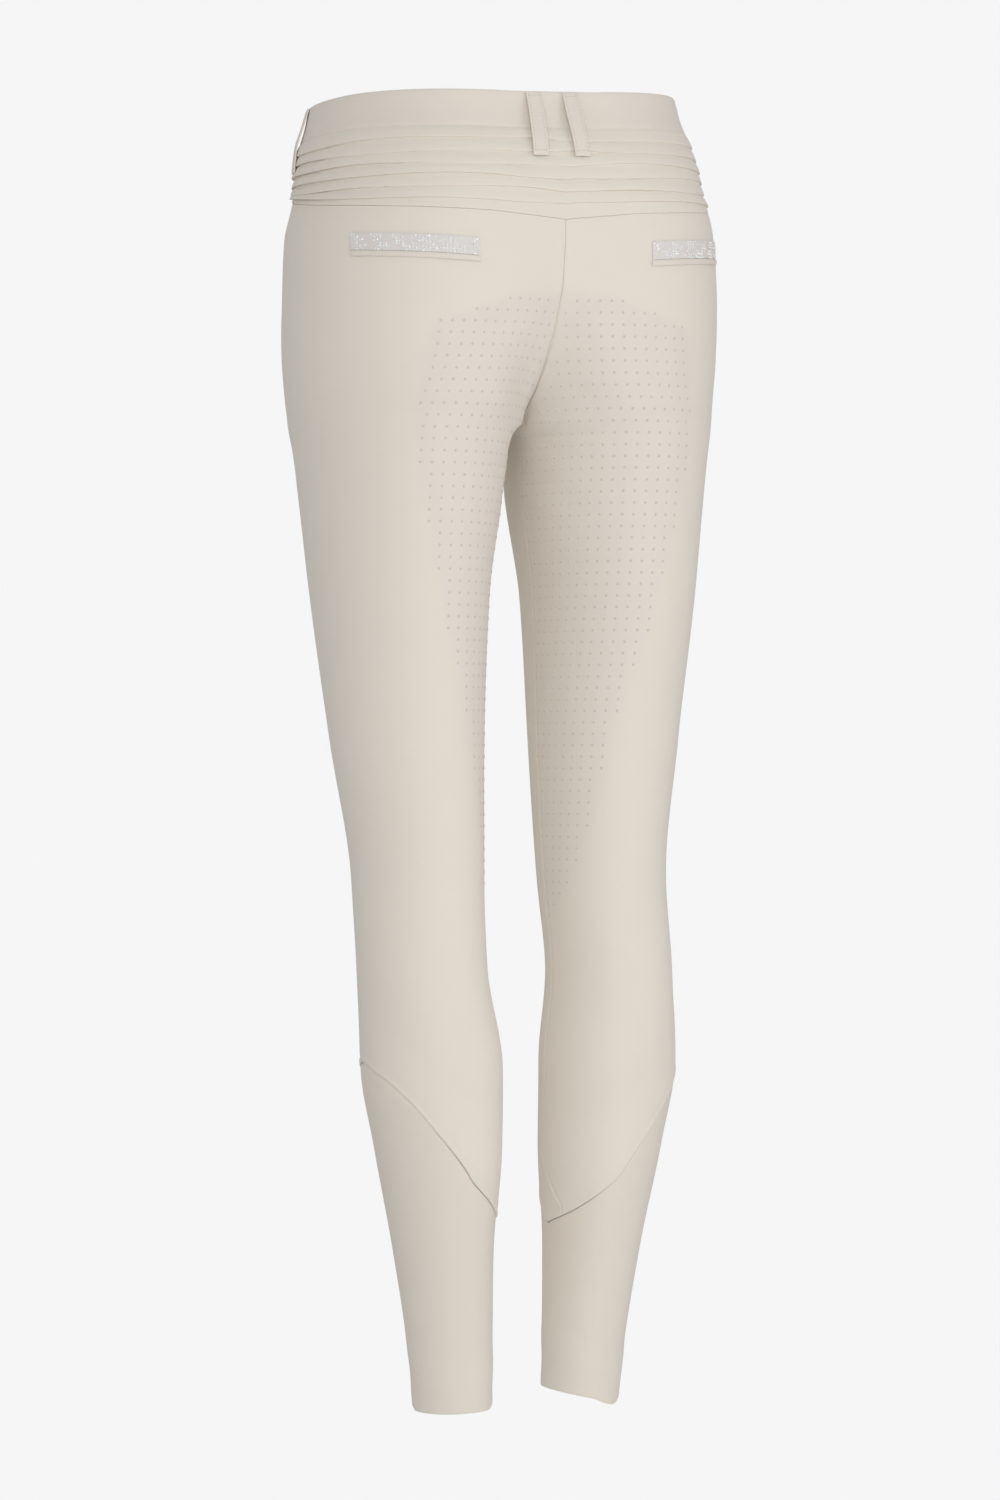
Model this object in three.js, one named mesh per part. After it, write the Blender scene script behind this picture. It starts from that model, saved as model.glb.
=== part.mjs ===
import * as THREE from "three";

// Women's full-grip riding breeches, filled out as when worn, with no wearer.
// Millimetres, +Z up, front towards -Y, the wearer's left towards +X.
// The origin is the middle of the waist opening, within the height of the waistband.

// Cloth and seams
const clothWall = 1.4;
const cuffWall = 1.2;
const bandWall = 2;
const trimWall = 1.2;
const seamGap = 0.3;
const layGap = 0.4;

// Heights along the body
const bandHeight = 27;
const backWaistZ = -3;
const sideRise = 4.5;
const frontDip = 13.5;
const crotchZ = -220;
const calfSeamZ = -742;
const hemZ = -926;

// Tucked yoke
const tuckCount = 7;
const tuckHeight = 1.9;

// Belt loops
const loopWidth = 11.5;
const loopLength = 48;
const loopBow = 2.6;
const sideLoopBow = 0.8;
const twinLoopSpacing = 28;
const sideLoopTurn = 0.555;
const frontLoopTurn = 0.79;

// Back pockets, measured along the cloth from the centre-back seam
const pocketStart = 66;
const pocketLength = 96;
const inlayHeight = 13;
const lipHeight = 4;

// Front fastening
const flyWidth = 36;
const flyLength = 110;
const tabLength = 42;
const buttonRadius = 8;
const buttonThickness = 3;
const buttonFromCentre = 7;

// The handle length that makes a Bezier quarter round.
const roundness = 0.5523;

// A turn of 0 to 1 runs round half the body, or round one leg. Its four stretches, from an inner seam
// to the seat, to the side, to the front of the thigh and back to an inner seam, meet at these turns.
const stretchEnds = [0, 0.17, 0.5, 0.83, 1];

// The outseam of the hips lies forward of the side.
const outseamTurn = 0.62;

// Sections of the hips, half of each. side is the widest point, and seat and thigh are the rearmost
// and foremost points, as x and y. back and front are the centre seams, each as its y and the angle
// in degrees by which the cloth turns in there.
const hipSections = [
  { z: 15, side: [134.8, 0], seat: [40, 107], thigh: [40, -104], back: [107, 0], front: [-104, 0] },
  { z: 0, side: [138.5, 1], seat: [40, 110], thigh: [40, -105], back: [110, 0], front: [-105, 0] },
  { z: -15, side: [143.4, 4], seat: [42, 115], thigh: [42, -106], back: [115, 0], front: [-106, 0] },
  { z: -28, side: [145.8, 7], seat: [44, 121], thigh: [44, -107], back: [121, 0], front: [-107, 0] },
  { z: -54, side: [149.6, 11], seat: [48, 130], thigh: [48, -107], back: [130, 0], front: [-107, 0] },
  { z: -84, side: [157, 14], seat: [52, 135], thigh: [52, -107], back: [134, 2], front: [-107, 0] },
  { z: -125, side: [158.8, 16], seat: [58, 137], thigh: [58, -106], back: [130, 12], front: [-106, 0] },
  { z: -149, side: [159.1, 15], seat: [60, 136], thigh: [60, -105.5], back: [120, 25], front: [-104, 5] },
  { z: -171, side: [158.6, 14], seat: [62, 134], thigh: [62, -104], back: [106, 40], front: [-96, 20] },
  { z: -191, side: [157.1, 14], seat: [65, 131], thigh: [65, -101.5], back: [88, 56], front: [-77, 42] },
  { z: -205, side: [155.6, 14], seat: [69, 128.5], thigh: [69, -98.5], back: [70, 70], front: [-49, 62] },
  { z: -213, side: [154.7, 15], seat: [72, 127], thigh: [72, -96], back: [55, 80], front: [-18, 76] },
  { z: -220, side: [153.9, 15], seat: [75, 125.5], thigh: [76, -93.5], back: [38, 90], front: [38, 90] },
];

// Sections of one leg, each a closed ring. x and y are its middle, skew turns it a little outwards,
// and seamY is where the inseam lies.
const legSections = [
  { z: -229, x: 79.5, y: 17, halfWidth: 72.8, halfDepth: 107, skew: 2, seamY: 34 },
  { z: -244, x: 80, y: 18, halfWidth: 70.2, halfDepth: 103.5, skew: 2, seamY: 31 },
  { z: -273, x: 80.2, y: 19, halfWidth: 67.4, halfDepth: 98, skew: 2, seamY: 27 },
  { z: -345, x: 81.6, y: 22.5, halfWidth: 59.4, halfDepth: 86, skew: 4, seamY: 25 },
  { z: -447, x: 77, y: 26, halfWidth: 52.4, halfDepth: 69, skew: 4, seamY: 27 },
  { z: -549, x: 72, y: 35, halfWidth: 45.1, halfDepth: 58, skew: 4, seamY: 35 },
  { z: -607, x: 73, y: 45, halfWidth: 44.4, halfDepth: 56, skew: 5, seamY: 45 },
  { z: -679, x: 68.6, y: 52.5, halfWidth: 48.8, halfDepth: 57, skew: 8, seamY: 52 },
  { z: -737, x: 63.4, y: 51.5, halfWidth: 43.9, halfDepth: 53, skew: 6, seamY: 51 },
  { z: -810, x: 58, y: 48.5, halfWidth: 34.9, halfDepth: 43, skew: 4, seamY: 48 },
  { z: -882, x: 52, y: 47, halfWidth: 30.1, halfDepth: 33.5, skew: 3, seamY: 47 },
  { z: hemZ, x: 49.5, y: 46, halfWidth: 28.4, halfDepth: 31, skew: 2, seamY: 46 },
];

// The yoke's lower seam, lowest at the centre back and rising towards the sides.
const yokeSeamLine = [
  { turn: 0, z: -83 },
  { turn: 0.23, z: -76 },
  { turn: 0.42, z: -66.5 },
  { turn: outseamTurn, z: -51 },
];

// The calf seam round the leg: lowest on the inside, rising nearly straight to the outside.
const calfSeamLine = [
  { turn: 0, z: -795 },
  { turn: 0.08, z: -784 },
  { turn: 0.14, z: -769 },
  { turn: 0.2, z: -747 },
  { turn: 0.27, z: -724 },
  { turn: 0.34, z: -702 },
  { turn: 0.42, z: -686 },
  { turn: 0.55, z: -676 },
  { turn: 0.66, z: -683 },
  { turn: 0.76, z: -705 },
  { turn: 0.86, z: -743 },
  { turn: 0.93, z: -772 },
  { turn: 1, z: -795 },
];

// How far the hips lean: a point sinks by this share of its distance towards the wearer's left, so
// the waist stands a little higher on the right, as in the pose shown.
const hipLean = [
  { z: -300, share: 0 },
  { z: -220, share: 0.004 },
  { z: -150, share: 0.014 },
  { z: -90, share: 0.026 },
  { z: -40, share: 0.036 },
  { z: 15, share: 0.042 },
];

// Where the outseam lies on a half section, by height.
const outseamLine = [
  { z: hemZ, turn: 0.61 },
  { z: calfSeamZ, turn: 0.62 },
  { z: -345, turn: 0.65 },
  { z: -160, turn: outseamTurn },
  { z: bandHeight, turn: outseamTurn },
];

// Where the inseam lies: on the inside of the leg, swinging to the back above the calf seam.
const inseamLine = [
  { z: hemZ, turn: 0.055 },
  { z: -790, turn: 0.055 },
  { z: -777, turn: 0.036 },
  { z: -764, turn: 0.016 },
  { z: -750, turn: -0.004 },
  { z: -730, turn: -0.02 },
  { z: -690, turn: 0 },
  { z: bandHeight, turn: 0 },
];

// One tuck: a fold that swells downwards and drops back sharply under its lip.
const tuckProfile = [
  { down: 0.08, rise: 0.15 },
  { down: 0.45, rise: 0.65 },
  { down: 0.82, rise: 1 },
  { down: 0.96, rise: 0.75 },
];

// How closely a panel's rows lie, from the waist down; they crowd round the crotch.
const rowSpacing = [
  { until: -190, step: 16 },
  { until: -204, step: 5 },
  { until: crotchZ, step: 4 },
  { until: -235, step: 5 },
  { until: -262, step: 9 },
  { until: calfSeamZ, step: 30 },
];

const backColumns = 14;
const frontColumns = 11;
const cuffRows = 9;

const { lerp, smoothstep, degToRad, clamp } = THREE.MathUtils;

function slopeAt(rows, key, name, i) {
  const here = rows[i];
  const before = rows[i - 1];
  const after = rows[i + 1];
  const rate = (a, b) => (b[name] - a[name]) / (b[key] - a[key]);
  if (!before) return rate(here, after);
  if (!after) return rate(before, here);
  const rateBefore = rate(before, here);
  const rateAfter = rate(here, after);
  if (rateBefore * rateAfter <= 0) return 0;
  const weightBefore = here[key] - before[key] + 2 * (after[key] - here[key]);
  const weightAfter = 2 * (here[key] - before[key]) + after[key] - here[key];
  return (weightBefore + weightAfter) / (weightBefore / rateBefore + weightAfter / rateAfter);
}

// Reads every column of a table at a value of its key column, on a smooth curve through the rows
// that never swings past them.
function readTable(rows, key, value) {
  const at = clamp(value, rows[0][key], rows.at(-1)[key]);
  const next = rows.findIndex((row) => row[key] > at);
  const i = next < 0 ? rows.length - 2 : next - 1;
  const span = rows[i + 1][key] - rows[i][key];
  const t = (at - rows[i][key]) / span;
  const read = {};
  for (const name of Object.keys(rows[i])) {
    const start = slopeAt(rows, key, name, i) * span;
    const end = slopeAt(rows, key, name, i + 1) * span;
    const keep = 2 * t ** 3 - 3 * t ** 2 + 1;
    const leave = t ** 3 - 2 * t ** 2 + t;
    const arrive = t ** 3 - t ** 2;
    read[name] = keep * rows[i][name] + (1 - keep) * rows[i + 1][name] + leave * start + arrive * end;
  }
  return read;
}

function legRow({ z, x, y, halfWidth, halfDepth, skew, seamY }) {
  return {
    z,
    sideX: x + halfWidth,
    sideY: y,
    seatX: x - skew,
    seatY: y + halfDepth,
    thighX: x + skew,
    thighY: y - halfDepth,
    innerX: x - halfWidth,
    backY: seamY,
    frontY: seamY,
    backTilt: 90,
    frontTilt: 90,
  };
}

function hipRow({ z, side, seat, thigh, back, front }) {
  return {
    z,
    sideX: side[0],
    sideY: side[1],
    seatX: seat[0],
    seatY: seat[1],
    thighX: thigh[0],
    thighY: thigh[1],
    innerX: 0,
    backY: back[0],
    frontY: front[0],
    backTilt: back[1],
    frontTilt: front[1],
  };
}

const sections = [...hipSections.map(hipRow), ...legSections.map(legRow)].sort((a, b) => a.z - b.z);

// The stretch from an inner seam to the seat (way 1) or to the front of the thigh (way -1).
function innerStretch(row, seamY, lobeX, lobeY, way) {
  const tilt = degToRad(way > 0 ? row.backTilt : row.frontTilt);
  const across = lobeX - row.innerX;
  const along = Math.abs(lobeY - seamY);
  const reach = roundness * (across * Math.cos(tilt) ** 2 + along * Math.sin(tilt) ** 2);
  return [
    new THREE.Vector2(row.innerX, seamY),
    new THREE.Vector2(row.innerX + reach * Math.cos(tilt), seamY + way * reach * Math.sin(tilt)),
    new THREE.Vector2(lobeX - roundness * across, lobeY),
    new THREE.Vector2(lobeX, lobeY),
  ];
}

// The quarter from the seat or the front of the thigh to the side.
function outerStretch(row, lobeX, lobeY) {
  return [
    new THREE.Vector2(lobeX, lobeY),
    new THREE.Vector2(lerp(lobeX, row.sideX, roundness), lobeY),
    new THREE.Vector2(row.sideX, lerp(row.sideY, lobeY, roundness)),
    new THREE.Vector2(row.sideX, row.sideY),
  ];
}

const drawnSections = new Map();

// The four stretches of half a section of the worn form at one height, from the centre back or
// inseam round the wearer's left side to the centre front or inseam.
function sectionAt(z) {
  const key = Math.round(z * 1000);
  if (drawnSections.has(key)) return drawnSections.get(key);
  const row = readTable(sections, "z", z);
  const stretches = [
    innerStretch(row, row.backY, row.seatX, row.seatY, 1),
    outerStretch(row, row.seatX, row.seatY),
    outerStretch(row, row.thighX, row.thighY).reverse(),
    innerStretch(row, row.frontY, row.thighX, row.thighY, -1).reverse(),
  ];
  const curves = stretches.map((points) => {
    const curve = new THREE.CubicBezierCurve(...points);
    curve.arcLengthDivisions = 32;
    return curve;
  });
  drawnSections.set(key, curves);
  return curves;
}

// The stretch that a turn lies in, and how far along that stretch it is.
function stretchOf(turn) {
  const next = stretchEnds.findIndex((end) => end > turn);
  const i = next < 0 ? stretchEnds.length - 2 : next - 1;
  const share = stretchEnds[i + 1] - stretchEnds[i];
  return { i, share, along: (turn - stretchEnds[i]) / share };
}

// The length of cloth in one whole turn, at the rate that holds near a turn and height.
function turnLength(turn, z) {
  const { i, share } = stretchOf(Math.abs(turn));
  return sectionAt(z)[i].getLength() / share;
}

// A leg section closes on itself; a hip section stops at the centre plane.
function onHalf(turn, z) {
  const inRange = z < crotchZ ? turn - Math.floor(turn) : clamp(turn, 0, 1);
  const { i, along } = stretchOf(inRange);
  const point = sectionAt(z)[i].getPointAt(along);
  return new THREE.Vector3(point.x, point.y, z);
}

// A point of the form with its outward normal and its direction round the body. On the hips a turn
// below 0 or above 1 lies on the wearer's right.
function spotOn(turn, z) {
  const turnStep = 0.002;
  const heightStep = 0.6;
  const signed = z >= crotchZ && turn > 1 ? turn - 2 : turn;
  const mirrored = z >= crotchZ && signed < 0;
  const half = mirrored ? -signed : signed;
  const point = onHalf(half, z);
  const along = onHalf(half + turnStep, z).sub(onHalf(half - turnStep, z)).normalize();
  const up = onHalf(half, z + heightStep).sub(onHalf(half, z - heightStep)).normalize();
  const normal = up.clone().cross(along).normalize();
  if (mirrored) {
    point.x *= -1;
    normal.x *= -1;
    along.set(along.x, -along.y, -along.z);
  }
  return { point, along, normal };
}

// A sheet of cloth as two grids of points. place(column, row) gives the turn, the height, how far
// its face stands off the form, and its wall. Free side edges lie half a seam gap back.
function clothSheet(columns, rows, place) {
  const outer = [];
  const inner = [];
  for (let r = 0; r <= rows; r++) {
    outer.push([]);
    inner.push([]);
    for (let c = 0; c <= columns; c++) {
      const { turn, z, lift = 0, wall = clothWall, loose = false } = place(c, r);
      const { point, along, normal } = spotOn(turn, z);
      const inset = loose ? 0 : seamGap / 2;
      if (c === 0) point.addScaledVector(along, inset);
      if (c === columns) point.addScaledVector(along, -inset);
      outer[r].push(point.clone().addScaledVector(normal, lift));
      inner[r].push(point.clone().addScaledVector(normal, lift - wall));
    }
  }
  return { outer, inner, tube: false };
}

// Keeps a half's points off the centre plane, so that it stays clear of its mirror image.
function clearOfCentre(sheet) {
  for (const point of [...sheet.outer.flat(), ...sheet.inner.flat()]) {
    point.x = Math.max(point.x, seamGap / 2);
  }
  return sheet;
}

function mirrorSheet(sheet) {
  const flip = (grid) => grid.map((row) => row.map((p) => new THREE.Vector3(-p.x, p.y, p.z)));
  return { outer: flip(sheet.outer), inner: flip(sheet.inner), tube: sheet.tube };
}

// A point of the upright form moved into the pose.
function leaned(point) {
  const { share } = readTable(hipLean, "z", point.z);
  return new THREE.Vector3(point.x, point.y, point.z - share * point.x);
}

// The closed wall between a sheet's two grids, with a rim along every free edge.
function wallGeometry({ outer, inner, tube }) {
  const rows = outer.length;
  const columns = outer[0].length;
  const points = [...outer.flat(), ...inner.flat()].map(leaned);
  const out = (r, c) => r * columns + (c % columns);
  const inn = (r, c) => rows * columns + out(r, c);
  const faces = [];
  const quad = (a, b, c, d) => faces.push(a, b, c, a, c, d);
  const bottom = rows - 1;
  const spans = tube ? columns : columns - 1;
  for (let c = 0; c < spans; c++) {
    for (let r = 0; r < bottom; r++) {
      quad(out(r, c), out(r + 1, c), out(r + 1, c + 1), out(r, c + 1));
      quad(inn(r, c), inn(r, c + 1), inn(r + 1, c + 1), inn(r + 1, c));
    }
    quad(out(0, c), out(0, c + 1), inn(0, c + 1), inn(0, c));
    quad(out(bottom, c + 1), out(bottom, c), inn(bottom, c), inn(bottom, c + 1));
  }
  for (let r = 0; !tube && r < bottom; r++) {
    quad(out(r + 1, 0), out(r, 0), inn(r, 0), inn(r + 1, 0));
    quad(out(r, spans), out(r + 1, spans), inn(r + 1, spans), inn(r, spans));
  }
  const volume = signedVolume(points, faces);
  if (volume < 0) faces.reverse();
  const geometry = new THREE.BufferGeometry();
  geometry.setAttribute("position", new THREE.Float32BufferAttribute(points.flatMap((p) => p.toArray()), 3));
  geometry.setIndex(faces);
  geometry.computeVertexNormals();
  return geometry;
}

function signedVolume(points, faces) {
  const normal = new THREE.Vector3();
  let volume = 0;
  for (let i = 0; i < faces.length; i += 3) {
    const [a, b, c] = [points[faces[i]], points[faces[i + 1]], points[faces[i + 2]]];
    volume += normal.crossVectors(b, c).dot(a) / 6;
  }
  return volume;
}

// Seam lines
const yokeSeam = (turn) => readTable(yokeSeamLine, "turn", Math.abs(turn)).z;
const outseam = (z) => readTable(outseamLine, "z", z).turn;
const inseam = (z) => readTable(inseamLine, "z", z).turn;
const calfSeam = (turn) => readTable(calfSeamLine, "turn", turn - Math.floor(turn)).z;
const waistline = (turn) => {
  const away = Math.abs(turn);
  return backWaistZ + sideRise * smoothstep(away, 0.12, 0.42) - frontDip * smoothstep(away, 0.55, 1);
};
const bandBottom = (turn) => waistline(turn) - bandHeight / 2;

// Row heights from a panel's top down to the calf seam, by the spacing table.
function rowLevels(top) {
  const levels = [top];
  for (const { until, step } of rowSpacing) {
    const from = levels.at(-1);
    const count = Math.round((from - until) / step);
    for (let i = 1; i <= count; i++) levels.push(lerp(from, until, i / count));
  }
  return levels;
}

// A panel row at its plain level follows the seam above it and the calf seam below it, each over
// the distance that it takes to settle.
const topSettle = 75;
const calfSettle = 150;
function panelHeight(turn, level, topLevel, topSeam) {
  const topBlend = smoothstep(level, topLevel - topSettle, topLevel);
  const calfBlend = 1 - smoothstep(level, calfSeamZ, calfSeamZ + calfSettle);
  const topShift = topSeam(turn) - seamGap / 2 - topLevel;
  const calfShift = calfSeam(turn) + seamGap - calfSeamZ;
  return level + topBlend * topShift + calfBlend * calfShift;
}

const backTop = -76;
const backLevels = rowLevels(backTop);
const frontTop = -20;
const frontLevels = rowLevels(frontTop);

function backSpot(column, row) {
  const level = backLevels[row];
  const height = (turn) => panelHeight(turn, level, backTop, yokeSeam);
  const turn = lerp(inseam(height(0)), outseam(height(outseamTurn)), column / backColumns);
  return { turn, z: height(turn) };
}

function frontSpot(column, row) {
  const level = frontLevels[row];
  const height = (turn) => panelHeight(turn, level, frontTop, bandBottom);
  const turn = lerp(outseam(height(outseamTurn)), 1 + inseam(height(1)), column / frontColumns);
  return { turn, z: height(turn) };
}

function backPanel() {
  return clearOfCentre(clothSheet(backColumns, backLevels.length - 1, backSpot));
}

function frontPanel() {
  return clearOfCentre(clothSheet(frontColumns, frontLevels.length - 1, frontSpot));
}

// The turns of a panel's columns along its lower edge.
function bottomTurns(spot, columns, levels) {
  return Array.from({ length: columns }, (_, column) => spot(column, levels.length - 1).turn);
}

// The stretch sock below the calf seam: one tube, set a little inside the leg's face.
function cuff() {
  const inset = -0.4;
  const backTurns = bottomTurns(backSpot, backColumns, backLevels);
  const frontTurns = bottomTurns(frontSpot, frontColumns, frontLevels);
  const turns = [...backTurns, ...frontTurns];
  const sheet = clothSheet(turns.length - 1, cuffRows, (column, row) => {
    const turn = turns[column];
    const z = lerp(calfSeam(turn) - seamGap / 2, hemZ, row / cuffRows);
    return { turn, z, lift: inset, wall: cuffWall, loose: true };
  });
  return { ...sheet, tube: true };
}

// The back yoke, one piece across both sides, with its tucks raised in the outer face.
function yoke() {
  const columns = 2 * backColumns;
  const rows = [{ fall: 0, rise: 0 }];
  for (let tuck = 0; tuck < tuckCount; tuck++) {
    for (const { down, rise } of tuckProfile) rows.push({ fall: (tuck + down) / tuckCount, rise });
  }
  rows.push({ fall: 1, rise: 0 });
  const sheet = clothSheet(columns, rows.length - 1, (column, row) => {
    const turn = lerp(-outseamTurn, outseamTurn, column / columns);
    const { fall } = rows[row];
    // Towards the sides the lower tucks close up as they run into the seam.
    const crowd = 1 + 0.6 * (Math.abs(turn) / outseamTurn) ** 2;
    const top = bandBottom(turn) - seamGap / 2;
    const bottom = yokeSeam(turn) + seamGap / 2;
    return { turn, z: lerp(bottom, top, (1 - fall) ** crowd) };
  });
  rows.forEach(({ rise }, r) => {
    sheet.outer[r].forEach((point, c) => {
      const out = point.clone().sub(sheet.inner[r][c]).normalize();
      point.addScaledVector(out, rise * tuckHeight);
    });
  });
  return sheet;
}

// A stretch of waistband between two turns.
function waistband(from, to, columns) {
  const rows = 3;
  return clothSheet(columns, rows, (column, row) => {
    const turn = lerp(from, to, column / columns);
    const z = waistline(turn) + bandHeight * (0.5 - row / rows);
    return { turn, z, wall: bandWall };
  });
}

// A belt loop: sewn flat at both ends and standing off the band between them. Its lower end lies
// over the lips of the first tucks, so both ends rest on what is under them.
function beltLoop(middle, foot, bow = loopBow) {
  const rows = 12;
  return clothSheet(1, rows, (column, row) => {
    const t = row / rows;
    const z = waistline(middle) + bandHeight / 2 - 1 - loopLength * t;
    const turn = middle + ((column - 0.5) * loopWidth) / turnLength(middle, z);
    const stand = layGap + foot * t + bow * Math.sin(Math.PI * t);
    return { turn, z, lift: stand + trimWall, wall: trimWall, loose: true };
  });
}

// A strip on the back panel along the pocket line; drop is how far below that line it starts.
function pocketStrip(drop, height, stand) {
  const columns = 10;
  const innerEndZ = -97;
  const outerEndZ = -89;
  return clothSheet(columns, 1, (column, row) => {
    const t = column / columns;
    const z = lerp(innerEndZ, outerEndZ, t) - drop - height * row;
    const seatTurn = stretchEnds[1];
    const pastSeat = pocketStart + pocketLength * t - sectionAt(z)[0].getLength();
    const turn = seatTurn + pastSeat / turnLength(seatTurn, z);
    return { turn, z, lift: layGap + stand, wall: stand, loose: true };
  });
}

// The slanted welt of a front pocket, from beside the outseam up towards the waistband.
function frontPocketWelt() {
  const low = { turn: 0.642, z: -112 };
  const high = { turn: 0.725, z: -36 };
  const halfWidth = 5.5;
  const rows = 8;
  return clothSheet(2, rows, (column, row) => {
    const t = row / rows;
    const perTurn = turnLength(low.turn, low.z);
    const run = (high.turn - low.turn) * perTurn;
    const rise = high.z - low.z;
    const length = Math.hypot(run, rise);
    const across = (column - 1) * halfWidth;
    const turn = lerp(high.turn, low.turn, t) + (across * rise) / length / perTurn;
    const z = lerp(high.z, low.z, t) - (across * run) / length;
    return { turn, z, lift: layGap + trimWall, wall: trimWall, loose: true };
  });
}

// The fly placket on the left front: straight, then curving in to the centre front at its foot.
function flyPlacket() {
  const rows = 14;
  const columns = 3;
  const straight = 0.72;
  const centreInset = 1;
  return clothSheet(columns, rows, (column, row) => {
    const t = row / rows;
    const z = bandBottom(1) - 1 - flyLength * t;
    const turnIn = Math.max(0, (t - straight) / (1 - straight));
    const width = 4 + (flyWidth - 4) * Math.sqrt(1 - turnIn ** 2);
    const fromCentre = centreInset + width * (1 - column / columns);
    const turn = 1 - fromCentre / turnLength(1, z);
    return { turn, z, lift: layGap + trimWall, wall: trimWall, loose: true };
  });
}

// The waistband's overlapping end, laid over the other end at the centre front.
function waistbandTab() {
  const columns = 4;
  const overlap = 12;
  return clothSheet(columns, 2, (column, row) => {
    const z = waistline(1) + (bandHeight - 2) * (0.5 - row / 2);
    const turn = 1 + (overlap - tabLength * (1 - column / columns)) / turnLength(1, z);
    return { turn, z, lift: layGap + trimWall, wall: trimWall, loose: true };
  });
}

// A plain button with a raised rim, on the middle of the tab.
function button() {
  const rim = 1.6;
  const dish = 1;
  const profile = [
    [0, 0],
    [buttonRadius - 0.6, 0],
    [buttonRadius, 0.8],
    [buttonRadius, buttonThickness - 0.7],
    [buttonRadius - 0.7, buttonThickness],
    [buttonRadius - rim, buttonThickness],
    [buttonRadius - rim - 0.8, buttonThickness - dish],
    [0, buttonThickness - dish],
  ];
  return new THREE.LatheGeometry(profile.map(([r, h]) => new THREE.Vector2(r, h)), 24);
}

const material = (color, roughness = 0.9, metalness = 0) =>
  new THREE.MeshStandardMaterial({ color, roughness, metalness, side: THREE.DoubleSide });

const sandCloth = () => material(0xd6ccbf);
const cuffCloth = () => material(0xd2c8bc, 0.85);
const bandCloth = () => material(0xd4c9bc);
const sparkleStrip = () => material(0xcfcac8, 0.35, 0.2);
const plainButton = () => material(0xc4b8aa, 0.45);

const breeches = new THREE.Group();

function add(name, sheet, finish) {
  const mesh = new THREE.Mesh(wallGeometry(sheet), finish);
  mesh.name = name;
  breeches.add(mesh);
}

function addPair(name, sheet, finish) {
  add(`${name}_left`, sheet, finish());
  add(`${name}_right`, mirrorSheet(sheet), finish());
}

addPair("back", backPanel(), sandCloth);
addPair("front", frontPanel(), sandCloth);
addPair("cuff", cuff(), cuffCloth);
add("yoke", yoke(), sandCloth());
add("waistband_back", waistband(-outseamTurn, outseamTurn, 2 * backColumns), bandCloth());
addPair("waistband_front", waistband(outseamTurn, 1, frontColumns), bandCloth);

const tuckFoot = tuckHeight;
addPair("belt_loop_back", beltLoop(twinLoopSpacing / 2 / turnLength(0, 0), tuckFoot), bandCloth);
addPair("belt_loop_side", beltLoop(sideLoopTurn, tuckFoot, sideLoopBow), bandCloth);
addPair("belt_loop_front", beltLoop(frontLoopTurn, 0), bandCloth);

addPair("pocket_inlay", pocketStrip(0, inlayHeight, 1), sparkleStrip);
addPair("pocket_welt", pocketStrip(inlayHeight + seamGap, lipHeight, 1.5), sandCloth);
addPair("front_pocket_welt", frontPocketWelt(), sandCloth);
add("fly_placket", flyPlacket(), sandCloth());
add("waistband_tab", waistbandTab(), bandCloth());

const tabSpot = spotOn(1 - buttonFromCentre / turnLength(1, 0), waistline(1));
const waistButton = new THREE.Mesh(button(), plainButton());
waistButton.name = "waist_button";
waistButton.position.copy(leaned(tabSpot.point)).addScaledVector(tabSpot.normal, 2 * layGap + trimWall);
waistButton.quaternion.setFromUnitVectors(new THREE.Vector3(0, 1, 0), tabSpot.normal);
breeches.add(waistButton);

export default breeches;
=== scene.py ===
import math
from dataclasses import dataclass

import bpy
import numpy as np
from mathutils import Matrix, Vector


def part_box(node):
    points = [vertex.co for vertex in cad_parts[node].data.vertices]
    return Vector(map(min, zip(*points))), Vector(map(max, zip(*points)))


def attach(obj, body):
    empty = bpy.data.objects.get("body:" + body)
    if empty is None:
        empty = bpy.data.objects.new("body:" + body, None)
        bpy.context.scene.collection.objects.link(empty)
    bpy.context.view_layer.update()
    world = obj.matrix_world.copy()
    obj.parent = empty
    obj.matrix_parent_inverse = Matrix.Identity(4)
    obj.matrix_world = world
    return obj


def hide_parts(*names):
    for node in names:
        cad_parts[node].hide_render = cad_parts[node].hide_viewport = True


bl_info = {
    "name": "Riding breeches",
    "version": (1, 0, 0),
    "blender": (4, 5, 0),
    "location": "3D View > Sidebar > Breeches",
    "description": "Full-grip riding breeches with a tucked yoke and sock cuffs, filled out as when worn",
    "category": "Object",
}

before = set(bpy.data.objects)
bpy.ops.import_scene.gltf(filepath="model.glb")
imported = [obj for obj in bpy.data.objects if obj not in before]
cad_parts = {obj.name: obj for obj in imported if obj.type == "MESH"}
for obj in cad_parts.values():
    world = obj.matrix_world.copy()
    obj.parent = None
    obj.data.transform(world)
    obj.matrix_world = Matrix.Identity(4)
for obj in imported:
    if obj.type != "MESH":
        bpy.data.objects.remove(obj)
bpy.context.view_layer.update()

# The tables and lengths of the form are in millimetres.
MM = 0.001

SEAM_GAP = 0.3
YOKE_GAP = 0.1
SEAM_INSIDE = 0.02
BAND_TINT = (0.985, 0.965, 0.975)  # the band and yoke are a little rosier than the legs
SHEET_SMALLEST = 10  # no side of a cut is stated smaller than this
LAY_GAP = 0.4
BAND_HEIGHT = 27
BACK_WAIST_Z = -3
SIDE_RISE = 4.5
FRONT_DIP = 13.5
CROTCH_Z = -220
CALF_SEAM_Z = -742
HEM_Z = -926
BACK_TOP = -76
FRONT_TOP = -20
OUTSEAM_TURN = 0.62
TUCK_COUNT = 7
LOOP_WIDTH = 11.5
LOOP_LENGTH = 48
LOOP_BOW = 2.6
SIDE_LOOP_BOW = 0.8
TWIN_LOOP_SPACING = 28
SIDE_LOOP_TURN = 0.555
FRONT_LOOP_TURN = 0.79
POCKET_START = 66
POCKET_LENGTH = 96
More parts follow.
